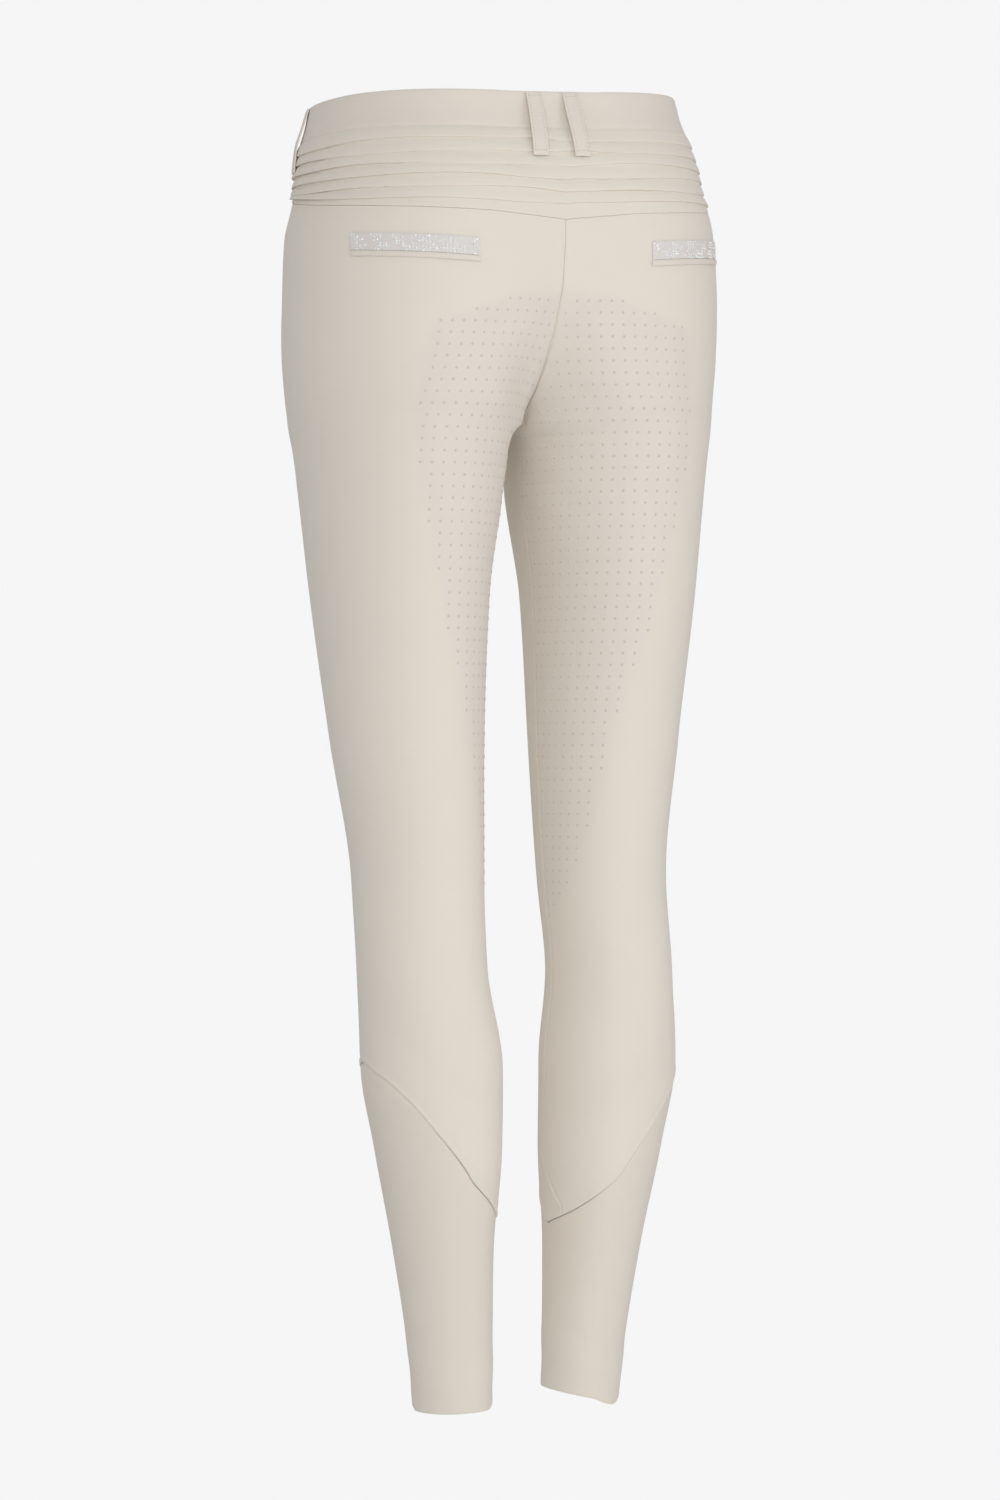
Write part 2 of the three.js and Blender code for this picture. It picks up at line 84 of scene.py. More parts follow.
INLAY_HEIGHT = 13
LIP_HEIGHT = 4
POCKET_INNER_Z = -97
POCKET_OUTER_Z = -89
FLY_WIDTH = 36
FLY_LENGTH = 110
TAB_LENGTH = 42
BUTTON_FROM_CENTRE = 7
BUTTON_RADIUS = 8
BUTTON_DEPTH = 3
BUTTON_RIM = 1.6
BUTTON_SLOPE = 0.8
BUTTON_SUNK = 1
BUTTON_FLOOR = 3
BUTTON_ROUNDING = 0.4
STONE_COLOUR = (0.97, 0.96, 0.97)

# How far the outer face of a laid-on piece stands off the form.
LAID_LIFT = LAY_GAP + 1.2

# The ends of a front pocket welt as turn and height, and half its width.
FRONT_WELT_LOW = (0.642, -112)
FRONT_WELT_HIGH = (0.725, -36)
FRONT_WELT_HALF_WIDTH = 5.5

# How far down from its upper seam, and up from the calf seam, a panel's rows take to level out.
TOP_SETTLE = 75
CALF_SETTLE = 150

# The name of each side, and whether it is the mirror image.
SIDES = (("left", False), ("right", True))

# The handle length that makes a Bezier quarter round.
ROUNDNESS = 0.5523

# A turn of 0 to 1 runs round half the body, or round one leg. Its stretches meet at these turns:
# the inner seam at the back, the seat, the side, the front of the thigh and the inner seam again.
STRETCH_ENDS = np.array([0, 0.17, 0.5, 0.83, 1])

# Sections of the hips, half of each. A tilt is the angle by which the cloth turns in at a centre seam.
HIP_COLUMNS = (
    "z", "side_x", "side_y", "seat_x", "seat_y", "thigh_x", "thigh_y",
    "back_y", "back_tilt", "front_y", "front_tilt",
)
HIP_SECTIONS = [
    (15, 134.8, 0, 40, 107, 40, -104, 107, 0, -104, 0),
    (0, 138.5, 1, 40, 110, 40, -105, 110, 0, -105, 0),
    (-15, 143.4, 4, 42, 115, 42, -106, 115, 0, -106, 0),
    (-28, 145.8, 7, 44, 121, 44, -107, 121, 0, -107, 0),
    (-54, 149.6, 11, 48, 130, 48, -107, 130, 0, -107, 0),
    (-84, 157, 14, 52, 135, 52, -107, 134, 2, -107, 0),
    (-125, 158.8, 16, 58, 137, 58, -106, 130, 12, -106, 0),
    (-149, 159.1, 15, 60, 136, 60, -105.5, 120, 25, -104, 5),
    (-171, 158.6, 14, 62, 134, 62, -104, 106, 40, -96, 20),
    (-191, 157.1, 14, 65, 131, 65, -101.5, 88, 56, -77, 42),
    (-205, 155.6, 14, 69, 128.5, 69, -98.5, 70, 70, -49, 62),
    (-213, 154.7, 15, 72, 127, 72, -96, 55, 80, -18, 76),
    (-220, 153.9, 15, 75, 125.5, 76, -93.5, 38, 90, 38, 90),
]

# Sections of one leg, each a closed ring round its middle.
LEG_COLUMNS = ("z", "x", "y", "half_width", "half_depth", "skew", "seam_y")
LEG_SECTIONS = [
    (-229, 79.5, 17, 72.8, 107, 2, 34),
    (-244, 80, 18, 70.2, 103.5, 2, 31),
    (-273, 80.2, 19, 67.4, 98, 2, 27),
    (-345, 81.6, 22.5, 59.4, 86, 4, 25),
    (-447, 77, 26, 52.4, 69, 4, 27),
    (-549, 72, 35, 45.1, 58, 4, 35),
    (-607, 73, 45, 44.4, 56, 5, 45),
    (-679, 68.6, 52.5, 48.8, 57, 8, 52),
    (-737, 63.4, 51.5, 43.9, 53, 6, 51),
    (-810, 58, 48.5, 34.9, 43, 4, 48),
    (-882, 52, 47, 30.1, 33.5, 3, 47),
    (HEM_Z, 49.5, 46, 28.4, 31, 2, 46),
]

# Seams: the yoke's lower edge as height by turn, and the outseam and inseam as turn by height.
YOKE_SEAM = [(0, -83), (0.23, -76), (0.42, -66.5), (OUTSEAM_TURN, -51)]
OUTSEAM = [(HEM_Z, 0.61), (CALF_SEAM_Z, 0.62), (-345, 0.65), (-160, 0.62), (BAND_HEIGHT, 0.62)]
INSEAM = [
    (HEM_Z, 0.055), (-790, 0.055), (-777, 0.036), (-764, 0.016), (-750, -0.004), (-730, -0.02), (-690, 0),
    (BAND_HEIGHT, 0),
]

# The calf seam as height by turn: lowest on the inside, rising nearly straight to the outside.
CALF_SEAM = [
    (0, -795), (0.08, -784), (0.14, -769), (0.2, -747), (0.27, -724), (0.34, -702), (0.42, -686),
    (0.55, -676), (0.66, -683), (0.76, -705), (0.86, -743), (0.93, -772), (1, -795),
]

# How far the hips lean, by height: the share of its distance to the wearer's left that a point sinks.
HIP_LEAN = [(-300, 0), (-220, 0.004), (-150, 0.014), (-90, 0.026), (-40, 0.036), (15, 0.042)]

# One tuck, from its top down: it swells, hangs over its lip and drops back under it.
TUCK_PROFILE = [
    (0, 0), (0.08, 0.16), (0.22, 0.38), (0.4, 0.62), (0.58, 0.84), (0.72, 0.96), (0.82, 1),
    (0.9, 0.95), (0.95, 0.78), (0.98, 0.45), (1, 0),
]


def unit(vectors):
    return vectors / np.maximum(np.linalg.norm(vectors, axis=-1, keepdims=True), 1e-12)


def smoothstep(value, low, high):
    t = np.clip((value - low) / (high - low), 0, 1)
    return t * t * (3 - 2 * t)


def mix(a, b, share):
    return a + (b - a) * share


def read_table(keys, values, at):
    """Every column of a table at each key, on a smooth curve that never swings past its rows."""
    steps = np.diff(keys)
    rates = np.diff(values, axis=0) / steps[:, None]
    slopes = np.zeros_like(values)
    slopes[0], slopes[-1] = rates[0], rates[-1]
    before, after = rates[:-1], rates[1:]
    same_way = before * after > 0
    weight_before = (steps[:-1] + 2 * steps[1:])[:, None]
    weight_after = (2 * steps[:-1] + steps[1:])[:, None]
    blend = weight_before / np.where(same_way, before, 1) + weight_after / np.where(same_way, after, 1)
    slopes[1:-1] = np.where(same_way, (weight_before + weight_after) / np.where(same_way, blend, 1), 0)
    at = np.clip(at, keys[0], keys[-1])
    i = np.clip(np.searchsorted(keys, at, side="right") - 1, 0, len(keys) - 2)
    span = steps[i][..., None]
    t = (at - keys[i])[..., None] / span
    keep = 2 * t**3 - 3 * t**2 + 1
    leave = t**3 - 2 * t**2 + t
    arrive = t**3 - t**2
    smooth = keep * values[i] + (1 - keep) * values[i + 1]
    return smooth + span * (leave * slopes[i] + arrive * slopes[i + 1])


def read_line(rows, at):
    """A two-column table read at each key."""
    table = np.array(sorted(rows), dtype=float)
    return read_table(table[:, 0], table[:, 1:], np.asarray(at, dtype=float))[..., 0]


def all_sections():
    """Hip and leg sections in one table: its heights, and its other columns."""
    rows = []
    for section in HIP_SECTIONS:
        s = dict(zip(HIP_COLUMNS, section))
        rows.append([
            s["z"], s["side_x"], s["side_y"], s["seat_x"], s["seat_y"], s["thigh_x"], s["thigh_y"],
            0, s["back_y"], s["front_y"], s["back_tilt"], s["front_tilt"],
        ])
    for section in LEG_SECTIONS:
        s = dict(zip(LEG_COLUMNS, section))
        rows.append([
            s["z"], s["x"] + s["half_width"], s["y"], s["x"] - s["skew"], s["y"] + s["half_depth"],
            s["x"] + s["skew"], s["y"] - s["half_depth"],
            s["x"] - s["half_width"], s["seam_y"], s["seam_y"], 90, 90,
        ])
    table = np.array(sorted(rows), dtype=float)
    return table[:, 0], table[:, 1:]


SECTION_HEIGHTS, SECTION_SHAPES = all_sections()


def inner_stretch(inner_x, seam_y, tilt, lobe_x, lobe_y, way):
    """The stretch from an inner seam to the seat (way 1) or to the front of the thigh (way -1)."""
    tilt = np.radians(tilt)
    across = lobe_x - inner_x
    along = np.abs(lobe_y - seam_y)
    reach = ROUNDNESS * (across * np.cos(tilt) ** 2 + along * np.sin(tilt) ** 2)
    x = [inner_x, inner_x + reach * np.cos(tilt), lobe_x - ROUNDNESS * across, lobe_x]
    y = [seam_y, seam_y + way * reach * np.sin(tilt), lobe_y, lobe_y]
    return np.stack([np.stack(x, -1), np.stack(y, -1)], -1)


def outer_stretch(side_x, side_y, lobe_x, lobe_y):
    """The quarter from the seat or the front of the thigh to the side."""
    x = [lobe_x, mix(lobe_x, side_x, ROUNDNESS), side_x, side_x]
    y = [lobe_y, lobe_y, mix(side_y, lobe_y, ROUNDNESS), side_y]
    return np.stack([np.stack(x, -1), np.stack(y, -1)], -1)


def section_handles(z):
    """The four Bezier stretches of half a section at each height."""
    shape = np.moveaxis(read_table(SECTION_HEIGHTS, SECTION_SHAPES, z), -1, 0)
    side_x, side_y, seat_x, seat_y, thigh_x, thigh_y, inner_x, back_y, front_y, back_tilt, front_tilt = shape
    to_seat = inner_stretch(inner_x, back_y, back_tilt, seat_x, seat_y, 1)
    seat_to_side = outer_stretch(side_x, side_y, seat_x, seat_y)
    thigh_to_side = outer_stretch(side_x, side_y, thigh_x, thigh_y)
    to_thigh = inner_stretch(inner_x, front_y, front_tilt, thigh_x, thigh_y, -1)
    stretches = [to_seat, seat_to_side, thigh_to_side[..., ::-1, :], to_thigh[..., ::-1, :]]
    return np.stack(stretches, -3)


def bezier(handles, t):
    """Points at t on cubic stretches; t has one more axis than the stretches have."""
    weights = np.stack([(1 - t) ** 3, 3 * t * (1 - t) ** 2, 3 * t * t * (1 - t), t**3], -1)
    return np.einsum("...sk,...kd->...sd", weights, handles)


def on_half(turn, z):
    """Points of half the form. A leg section closes on itself; a hip section stops at the centre plane."""
    samples = np.linspace(0, 1, 33)
    in_range = np.where(z < CROTCH_Z, turn - np.floor(turn), np.clip(turn, 0, 1))
    i = np.clip(np.searchsorted(STRETCH_ENDS, in_range, side="right") - 1, 0, 3)
    along = (in_range - STRETCH_ENDS[i]) / (STRETCH_ENDS[i + 1] - STRETCH_ENDS[i])
    handles = np.take_along_axis(section_handles(z), i[..., None, None, None], axis=-3)[..., 0, :, :]
    curve = bezier(handles, np.broadcast_to(samples, along.shape + samples.shape))
    steps = np.linalg.norm(np.diff(curve, axis=-2), axis=-1)
    run = np.concatenate([np.zeros_like(steps[..., :1]), steps.cumsum(-1)], -1)
    wanted = along * run[..., -1]
    j = np.clip((run < wanted[..., None]).sum(-1) - 1, 0, len(samples) - 2)[..., None]
    start = np.take_along_axis(run, j, -1)[..., 0]
    step = np.take_along_axis(steps, j, -1)[..., 0]
    t = (j[..., 0] + (wanted - start) / step) / (len(samples) - 1)
    point = bezier(handles, t[..., None])[..., 0, :]
    return np.concatenate([point, np.asarray(z)[..., None]], -1)


def stretch_length(turn, z):
    """Millimetres of cloth in one whole turn, at the rate that holds near a turn and height."""
    step = 0.002
    turn, z = np.broadcast_arrays(np.asarray(turn, dtype=float), np.asarray(z, dtype=float))
    return np.linalg.norm(on_half(turn + step, z) - on_half(turn - step, z), axis=-1) / (2 * step)


def spots(turn, z):
    """Points of the form, the way round the body there, and the outward normals."""
    turn_step, height_step = 0.002, 0.6
    turn, z = np.broadcast_arrays(np.asarray(turn, dtype=float), np.asarray(z, dtype=float))
    signed = np.where((z >= CROTCH_Z) & (turn > 1), turn - 2, turn)
    mirrored = (z >= CROTCH_Z) & (signed < 0)
    half = np.where(mirrored, -signed, signed)
    point = on_half(half, z)
    along = unit(on_half(half + turn_step, z) - on_half(half - turn_step, z))
    up = unit(on_half(half, z + height_step) - on_half(half, z - height_step))
    normal = unit(np.cross(up, along))
    side = np.where(mirrored, -1, 1)
    point[..., 0] *= side
    normal[..., 0] *= side
    along[..., 1] *= side
    along[..., 2] *= side
    return point, along, normal


def yoke_seam(turn):
    return read_line(YOKE_SEAM, np.abs(turn))


def calf_seam(turn):
    return read_line(CALF_SEAM, turn - np.floor(turn))


def waistline(turn):
    away = np.abs(turn)
    return BACK_WAIST_Z + SIDE_RISE * smoothstep(away, 0.12, 0.42) - FRONT_DIP * smoothstep(away, 0.55, 1)


def band_bottom(turn):
    return waistline(turn) - BAND_HEIGHT / 2


def panel_height(turn, level, top_level, top_seam):
    """A panel row at its plain level follows the seam above it and the calf seam below it."""
    top_blend = smoothstep(level, top_level - TOP_SETTLE, top_level)
    calf_blend = 1 - smoothstep(level, CALF_SEAM_Z, CALF_SEAM_Z + CALF_SETTLE)
    top_shift = top_seam(turn) - SEAM_GAP / 2 - top_level
    calf_shift = calf_seam(turn) + SEAM_GAP - CALF_SEAM_Z
    return level + top_blend * top_shift + calf_blend * calf_shift


def even_with_edges(length, step, edges=(0, 0.35, 0.8, 1.5, 2.4, 3.6, 5.2)):
    """Shares from 0 to 1 of a length, even in the middle and crowded near both ends."""
    first = np.array(edges) / length
    count = max(2, round(length * (1 - 2 * first[-1]) / step))
    middle = np.linspace(first[-1], 1 - first[-1], count + 1)[1:-1]
    return np.concatenate([first, middle, 1 - first[::-1]])


@dataclass
class Cloth:
    """A piece of cloth as grids of rows and columns, from its top and its first edge."""

    turn: np.ndarray
    z: np.ndarray
    outer: np.ndarray
    inner: np.ndarray
    normal: np.ndarray
    tube: bool = False

    def edge_distances(self):
        """How far each point lies from the first, last, top and bottom edge, along the cloth."""
        across = run_along(self.outer, 1)
        down = run_along(self.outer, 0)
        return across, across[:, -1:] - across, down, down[-1:] - down

    def outer_area(self):
        """The area of the outer face, each cell of the grid as two triangles."""
        o = self.outer
        right, below, far = o[:-1, 1:], o[1:, :-1], o[1:, 1:]
        upper = np.cross(right - o[:-1, :-1], below - o[:-1, :-1])
        lower = np.cross(right - far, below - far)
        return (np.linalg.norm(upper, axis=-1) + np.linalg.norm(lower, axis=-1)).sum() / 2

    def press(self, depth, whole=True):
        """Moves the face in by a depth at each point, and the inside with it if whole."""
        shift = self.normal * np.asarray(depth)[..., None]
        self.outer -= shift
        if whole:
            self.inner -= shift


def run_along(points, axis):
    steps = np.linalg.norm(np.diff(points, axis=axis), axis=-1)
    return np.concatenate([np.zeros_like(steps.take([0], axis)), steps.cumsum(axis)], axis)


def lay_cloth(turn, z, wall, lift=0.0, loose=False, tube=False):
    """Cloth on the form. Side edges that are sewn lie half a seam gap back."""
    turn, z = np.broadcast_arrays(np.asarray(turn, dtype=float), np.asarray(z, dtype=float))
    point, along, normal = spots(turn, z)
    if not loose and not tube:
        point[:, 0] += along[:, 0] * SEAM_GAP / 2
        point[:, -1] -= along[:, -1] * SEAM_GAP / 2
    outer = point + normal * np.asarray(lift)[..., None]
    return Cloth(turn, z, outer, outer - normal * wall, normal, tube)


def clear_of_centre(cloth, seam_column):
    """Keeps a half clear of its mirror image. On the inside the seam is closed, so no light passes."""
    cloth.outer[..., 0] = np.maximum(cloth.outer[..., 0], SEAM_GAP / 2)
    cloth.inner[..., 0] = np.maximum(cloth.inner[..., 0], SEAM_INSIDE)
    above = cloth.z[:, seam_column] > CROTCH_Z
    cloth.inner[above, seam_column, 0] = SEAM_INSIDE
    return cloth


def panel(side_turns, top_level, top_seam, wall, seam_column):
    """A leg panel from the seam above it to the calf seam, between the turns of its two sides."""
    columns = even_with_edges(270, 3.4)
    rows = even_with_edges(top_level - CALF_SEAM_Z, 3.6)[:, None]
    level = mix(top_level, CALF_SEAM_Z, rows)
    first, last = side_turns(lambda turn: panel_height(turn, level, top_level, top_seam))
    turn = mix(first, last, columns)
    z = panel_height(turn, level, top_level, top_seam)
    return clear_of_centre(lay_cloth(turn, z, wall), seam_column)


def back_panel(wall):
    sides = lambda height: (read_line(INSEAM, height(0.0)), read_line(OUTSEAM, height(OUTSEAM_TURN)))
    return panel(sides, BACK_TOP, yoke_seam, wall, seam_column=0)


def front_panel(wall):
    sides = lambda height: (read_line(OUTSEAM, height(OUTSEAM_TURN)), 1 + read_line(INSEAM, height(1.0)))
    return panel(sides, FRONT_TOP, band_bottom, wall, seam_column=-1)


def ridge(distance, centre, width):
    return np.exp(-(((distance - centre) / width) ** 2))


def fold_depth(cloth, folds):
    """How deep soft folds press the cloth in. Each fold runs straight from one spot to another, and
    fades out at the middle of the body, where the seam holds the cloth."""
    depth = np.zeros(cloth.outer.shape[:2])
    for start, end, deep, width in folds:
        a, b = spots([start[0], end[0]], [start[1], end[1]])[0]
        run = b - a
        t = np.clip(((cloth.outer - a) @ run) / (run @ run), 0, 1)
        away = np.linalg.norm(cloth.outer - (a + t[..., None] * run), axis=-1)
        depth += deep * np.sin(math.pi * np.clip(t, 0.02, 0.98)) * np.exp(-((away / width) ** 2))
    return depth * smoothstep(cloth.outer[..., 0], 0, 14)


def shell_object(name, cloth, material, mirrored=False, marks=None):
    """A closed shell of cloth with a UV map that follows the cloth, in units of 10 mm."""
    outer, inner = cloth.outer.copy(), cloth.inner.copy()
    if mirrored:
        outer[..., 0] *= -1
        inner[..., 0] *= -1
    rows, columns = outer.shape[:2]
    ring = columns - 1 if cloth.tube else columns
    out = np.arange(rows * columns).reshape(rows, columns)
    inn = out + rows * columns
    vertex = np.arange(rows)[:, None] * ring + np.arange(columns) % ring
    vertex = np.concatenate([vertex.ravel(), vertex.ravel() + rows * ring])
    walls = [
        (out[:-1, :-1], out[1:, :-1], out[1:, 1:], out[:-1, 1:]),
        (inn[:-1, :-1], inn[:-1, 1:], inn[1:, 1:], inn[1:, :-1]),
        (out[0, :-1], out[0, 1:], inn[0, 1:], inn[0, :-1]),
        (out[-1, 1:], out[-1, :-1], inn[-1, :-1], inn[-1, 1:]),
    ]
    if not cloth.tube:
        walls += [
            (out[1:, 0], out[:-1, 0], inn[:-1, 0], inn[1:, 0]),
            (out[:-1, -1], out[1:, -1], inn[1:, -1], inn[:-1, -1]),
        ]
    corners = np.concatenate([np.stack(wall, -1).reshape(-1, 4) for wall in walls])
    points = np.concatenate([outer[:, :ring].reshape(-1, 3), inner[:, :ring].reshape(-1, 3)])
    a, b, c = (points[vertex[corners[:, k]]] for k in (0, 1, 2))
    if np.einsum("ij,ij->i", np.cross(b, c), a).sum() < 0:
        corners = corners[:, ::-1]
    across, _, down, _ = cloth.edge_distances()
    uv = np.stack([across, -down], -1).reshape(-1, 2) / 10
    piece = mesh_object(name, points, vertex[corners].tolist(), material)
    layer = piece.data.uv_layers.new(name="cloth")
    layer.data.foreach_set("uv", uv[corners % (rows * columns)].ravel())
    for mark, values in (marks or {}).items():
        values = values[:, :ring].ravel()
        attribute = piece.data.attributes.new(mark, "FLOAT", "POINT")
        attribute.data.foreach_set("value", np.concatenate([values, values]))
    shade(piece, 50)
    return piece


def leaned(points):
    """Points of the upright form moved into the pose."""
    sunk = read_line(HIP_LEAN, points[..., 2]) * points[..., 0]
    return points - sunk[..., None] * np.array([0, 0, 1])


def mesh_object(name, points, faces, material):
    """A new object at the origin from points of the upright form in millimetres."""
    mesh = bpy.data.meshes.new(name)
    mesh.from_pydata((leaned(points) * MM).tolist(), [], faces)
    mesh.update()
    piece = bpy.data.objects.new(name, mesh)
    bpy.context.scene.collection.objects.link(piece)
    piece.data.materials.append(material)
    return piece


def select_only(*pieces):
    bpy.ops.object.select_all(action="DESELECT")
    for piece in pieces:
        piece.select_set(True)
    bpy.context.view_layer.objects.active = pieces[0]


def shade(piece, degrees):
    select_only(piece)
    bpy.ops.object.shade_smooth_by_angle(angle=math.radians(degrees))


def template(piece):
    """The points in millimetres and faces of a small modelled shape, which is then removed."""
    points = np.array([v.co[:] for v in piece.data.vertices]) / MM
    faces = [list(f.vertices) for f in piece.data.polygons]
    bpy.data.objects.remove(piece)
    return points, faces


def scatter(name, shape, places, material):
    """Copies of one small shape at many places, each given as a point, three axes and three scales."""
    points, faces = shape
    copies, copied_faces = [], []
    for k, (point, axes, scale) in enumerate(places):
        copies.append((points * scale) @ np.array(axes) + point)
        copied_faces += [[v + k * len(points) for v in face] for face in faces]
    return mesh_object(name, np.concatenate(copies), copied_faces, material)


def declare_cloth(piece, cloth, slot, *nodes, held="stretched"):
    """Puts a finished cloth piece in the frame, in place of its CAD nodes."""
    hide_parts(*nodes)
    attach(piece, "root")
    across, _, down, _ = cloth.edge_distances()
    width = max(across[:, -1].max(), SHEET_SMALLEST) * MM
    length = max(down[-1].max(), SHEET_SMALLEST) * MM
    min(cloth.outer_area() * MM**2, width * length)


def add_cloth(name, cloth, material, slot, mirrored=False, marks=None, held="stretched"):
    """Models a piece of cloth and puts it in place of the CAD node of that name."""
    piece = shell_object(f"{name}_cloth", cloth, material, mirrored, marks)
    declare_cloth(piece, cloth, slot, name, held=held)


def on_top(piece):
    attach(piece, "root")


# Materials


def new_group(name, inputs, outputs):
    group = bpy.data.node_groups.new(name, "ShaderNodeTree")
    for label, kind, value in inputs:
        socket = group.interface.new_socket(label, in_out="INPUT", socket_type=kind)
        if value is not None:
            socket.default_value = value
    for label, kind in outputs:
        group.interface.new_socket(label, in_out="OUTPUT", socket_type=kind)
    return group, group.nodes.new("NodeGroupInput"), group.nodes.new("NodeGroupOutput")


def node(tree, kind, **settings):
    """A new node. A setting is an input's value, an output linked to that input, or an attribute."""
    made = tree.nodes.new(kind)
    for name, value in settings.items():
        if name not in made.inputs:
            setattr(made, name, value)
        elif isinstance(value, bpy.types.NodeSocket):
            tree.links.new(value, made.inputs[name])
        else:
            made.inputs[name].default_value = value
    return made


def math_node(tree, operation, a, b=None):
    made = tree.nodes.new("ShaderNodeMath")
    made.operation = operation
    for socket, value in zip(made.inputs, (a, b)):
        if value is None:
            continue
        if isinstance(value, bpy.types.NodeSocket):
            tree.links.new(value, socket)
        else:
            socket.default_value = value
    return made.outputs[0]


def knit_weave_group():
    """Fine crossing ribs of a stretch cloth, with uneven threads. The pitch is in units of 10 mm."""
    group, inputs, outputs = new_group(
        "stretch_weave",
        [
            ("Cloth Position", "NodeSocketVector", None),
            ("Thread Pitch", "NodeSocketFloat", 0.06),
            ("Unevenness", "NodeSocketFloat", 0.4),
        ],
        [("Height", "NodeSocketFloat"), ("Thread Tone", "NodeSocketFloat")],
    )
    place = inputs.outputs["Cloth Position"]
    split = node(group, "ShaderNodeSeparateXYZ", Vector=place)
    frequency = math_node(group, "DIVIDE", math.tau, inputs.outputs["Thread Pitch"])
    ribs = []
    for across, along in ((1.0, 0.55), (-1.0, 0.55)):
        u = math_node(group, "MULTIPLY", split.outputs["X"], across)
        v = math_node(group, "MULTIPLY", split.outputs["Y"], along)
        phase = math_node(group, "MULTIPLY", math_node(group, "ADD", u, v), frequency)
        ribs.append(math_node(group, "SINE", phase))
    crossing = math_node(group, "MULTIPLY", ribs[0], ribs[1])
    grain = node(group, "ShaderNodeTexNoise", Vector=place, Scale=9.0, Detail=3.0, Roughness=0.6)
    uneven = math_node(group, "MULTIPLY", grain.outputs["Fac"], inputs.outputs["Unevenness"])
    height = math_node(group, "ADD", math_node(group, "MULTIPLY", crossing, 0.5), uneven)
    group.links.new(height, outputs.inputs["Height"])
    group.links.new(grain.outputs["Fac"], outputs.inputs["Thread Tone"])
    return group


def soft_tone_group():
    """Slow drifts of tone over a garment, from handling and from uneven dye."""
    group, inputs, outputs = new_group(
        "soft_tone",
        [
            ("Object Position", "NodeSocketVector", None),
            ("Light Colour", "NodeSocketColor", None),
            ("Dark Colour", "NodeSocketColor", None),
            ("Thread Tone", "NodeSocketFloat", 0.5),
            ("Contrast", "NodeSocketFloat", 0.3),
        ],
        [("Colour", "NodeSocketColor")],
    )
    place = inputs.outputs["Object Position"]
    drift = node(group, "ShaderNodeTexNoise", Vector=place, Scale=14.0, Detail=2.0, Roughness=0.5)
    both = math_node(group, "ADD", drift.outputs["Fac"], inputs.outputs["Thread Tone"])
    centred = math_node(group, "SUBTRACT", both, 1.0)
    share = math_node(group, "MULTIPLY", centred, inputs.outputs["Contrast"])
    dark, light = inputs.outputs["Dark Colour"], inputs.outputs["Light Colour"]
    share = math_node(group, "ADD", share, 0.5)
    blend = node(group, "ShaderNodeMix", data_type="RGBA", Factor=share, A=dark, B=light)
    group.links.new(blend.outputs["Result"], outputs.inputs["Colour"])
    return group


def shared_group(name, build):
    return bpy.data.node_groups.get(name) or build()


def colour(value):
    return (value[0], value[1], value[2], 1.0)


def new_material(name):
    """A new material with its node tree and its shader."""
    material = bpy.data.materials.new(name)
    material.use_nodes = True
    return material, material.node_tree, material.node_tree.nodes["Principled BSDF"]


def cloth_material(name, light, dark, roughness=0.9, pitch=0.06, relief=0.35, print_colour=None):
    """A stretch cloth; print_colour tints it where the mesh is marked as printed with grip."""
    existing = bpy.data.materials.get(name)
    if existing:
        return existing
    material, tree, shader = new_material(name)
    shader.inputs["Roughness"].default_value = roughness
    shader.inputs["Sheen Weight"].default_value = 0.1
    shader.inputs["Sheen Roughness"].default_value = 0.5
    shader.inputs["Specular IOR Level"].default_value = 0.25
    place = node(tree, "ShaderNodeUVMap", uv_map="cloth")
    weave = node(tree, "ShaderNodeGroup", node_tree=shared_group("stretch_weave", knit_weave_group))
    weave.inputs["Thread Pitch"].default_value = pitch
    tree.links.new(place.outputs["UV"], weave.inputs["Cloth Position"])
    tone = node(tree, "ShaderNodeGroup", node_tree=shared_group("soft_tone", soft_tone_group))
    tone.inputs["Light Colour"].default_value = colour(light)
    tone.inputs["Dark Colour"].default_value = colour(dark)
    coordinates = node(tree, "ShaderNodeTexCoord")
    tree.links.new(coordinates.outputs["Object"], tone.inputs["Object Position"])
    tree.links.new(weave.outputs["Thread Tone"], tone.inputs["Thread Tone"])
    finish = tone.outputs["Colour"]
    if print_colour is not None:
        printed = node(tree, "ShaderNodeAttribute", attribute_name="grip_print")
        share, tint = printed.outputs["Fac"], colour(print_colour)
        blend = node(tree, "ShaderNodeMix", data_type="RGBA", Factor=share, A=finish, B=tint)
        finish = blend.outputs["Result"]
    tree.links.new(finish, shader.inputs["Base Color"])
    bump = node(tree, "ShaderNodeBump", Strength=relief, Distance=0.0003, Height=weave.outputs["Height"])
    tree.links.new(bump.outputs["Normal"], shader.inputs["Normal"])
    return material


def plain_material(name, base, roughness, grain_scale=900.0, grain=0.15, metallic=0.0, coat=0.0):
    """A moulded or spun finish with a fine grain in its tone and its roughness."""
    existing = bpy.data.materials.get(name)
    if existing:
        return existing
    material, tree, shader = new_material(name)
    shader.inputs["Metallic"].default_value = metallic
    shader.inputs["Coat Weight"].default_value = coat
    coordinates = node(tree, "ShaderNodeTexCoord")
    place = coordinates.outputs["Object"]
    noise = node(tree, "ShaderNodeTexNoise", Vector=place, Scale=grain_scale, Detail=2.0)
    dark = colour([c * (1 - grain) for c in base])
    light = colour([min(1.0, c * (1 + grain)) for c in base])
    tint = node(tree, "ShaderNodeMix", data_type="RGBA", Factor=noise.outputs["Fac"], A=dark, B=light)
    tree.links.new(tint.outputs["Result"], shader.inputs["Base Color"])
    spread = math_node(tree, "MULTIPLY", noise.outputs["Fac"], grain)
    tree.links.new(math_node(tree, "ADD", spread, roughness), shader.inputs["Roughness"])
    return material


def length_setting(name, description, default, low, high):
    """A length that can be set in the panel, in metres."""
    return bpy.props.FloatProperty(
        name=name, description=description, default=default, min=low, max=high,
        unit="LENGTH", subtype="DISTANCE", precision=4,
    )


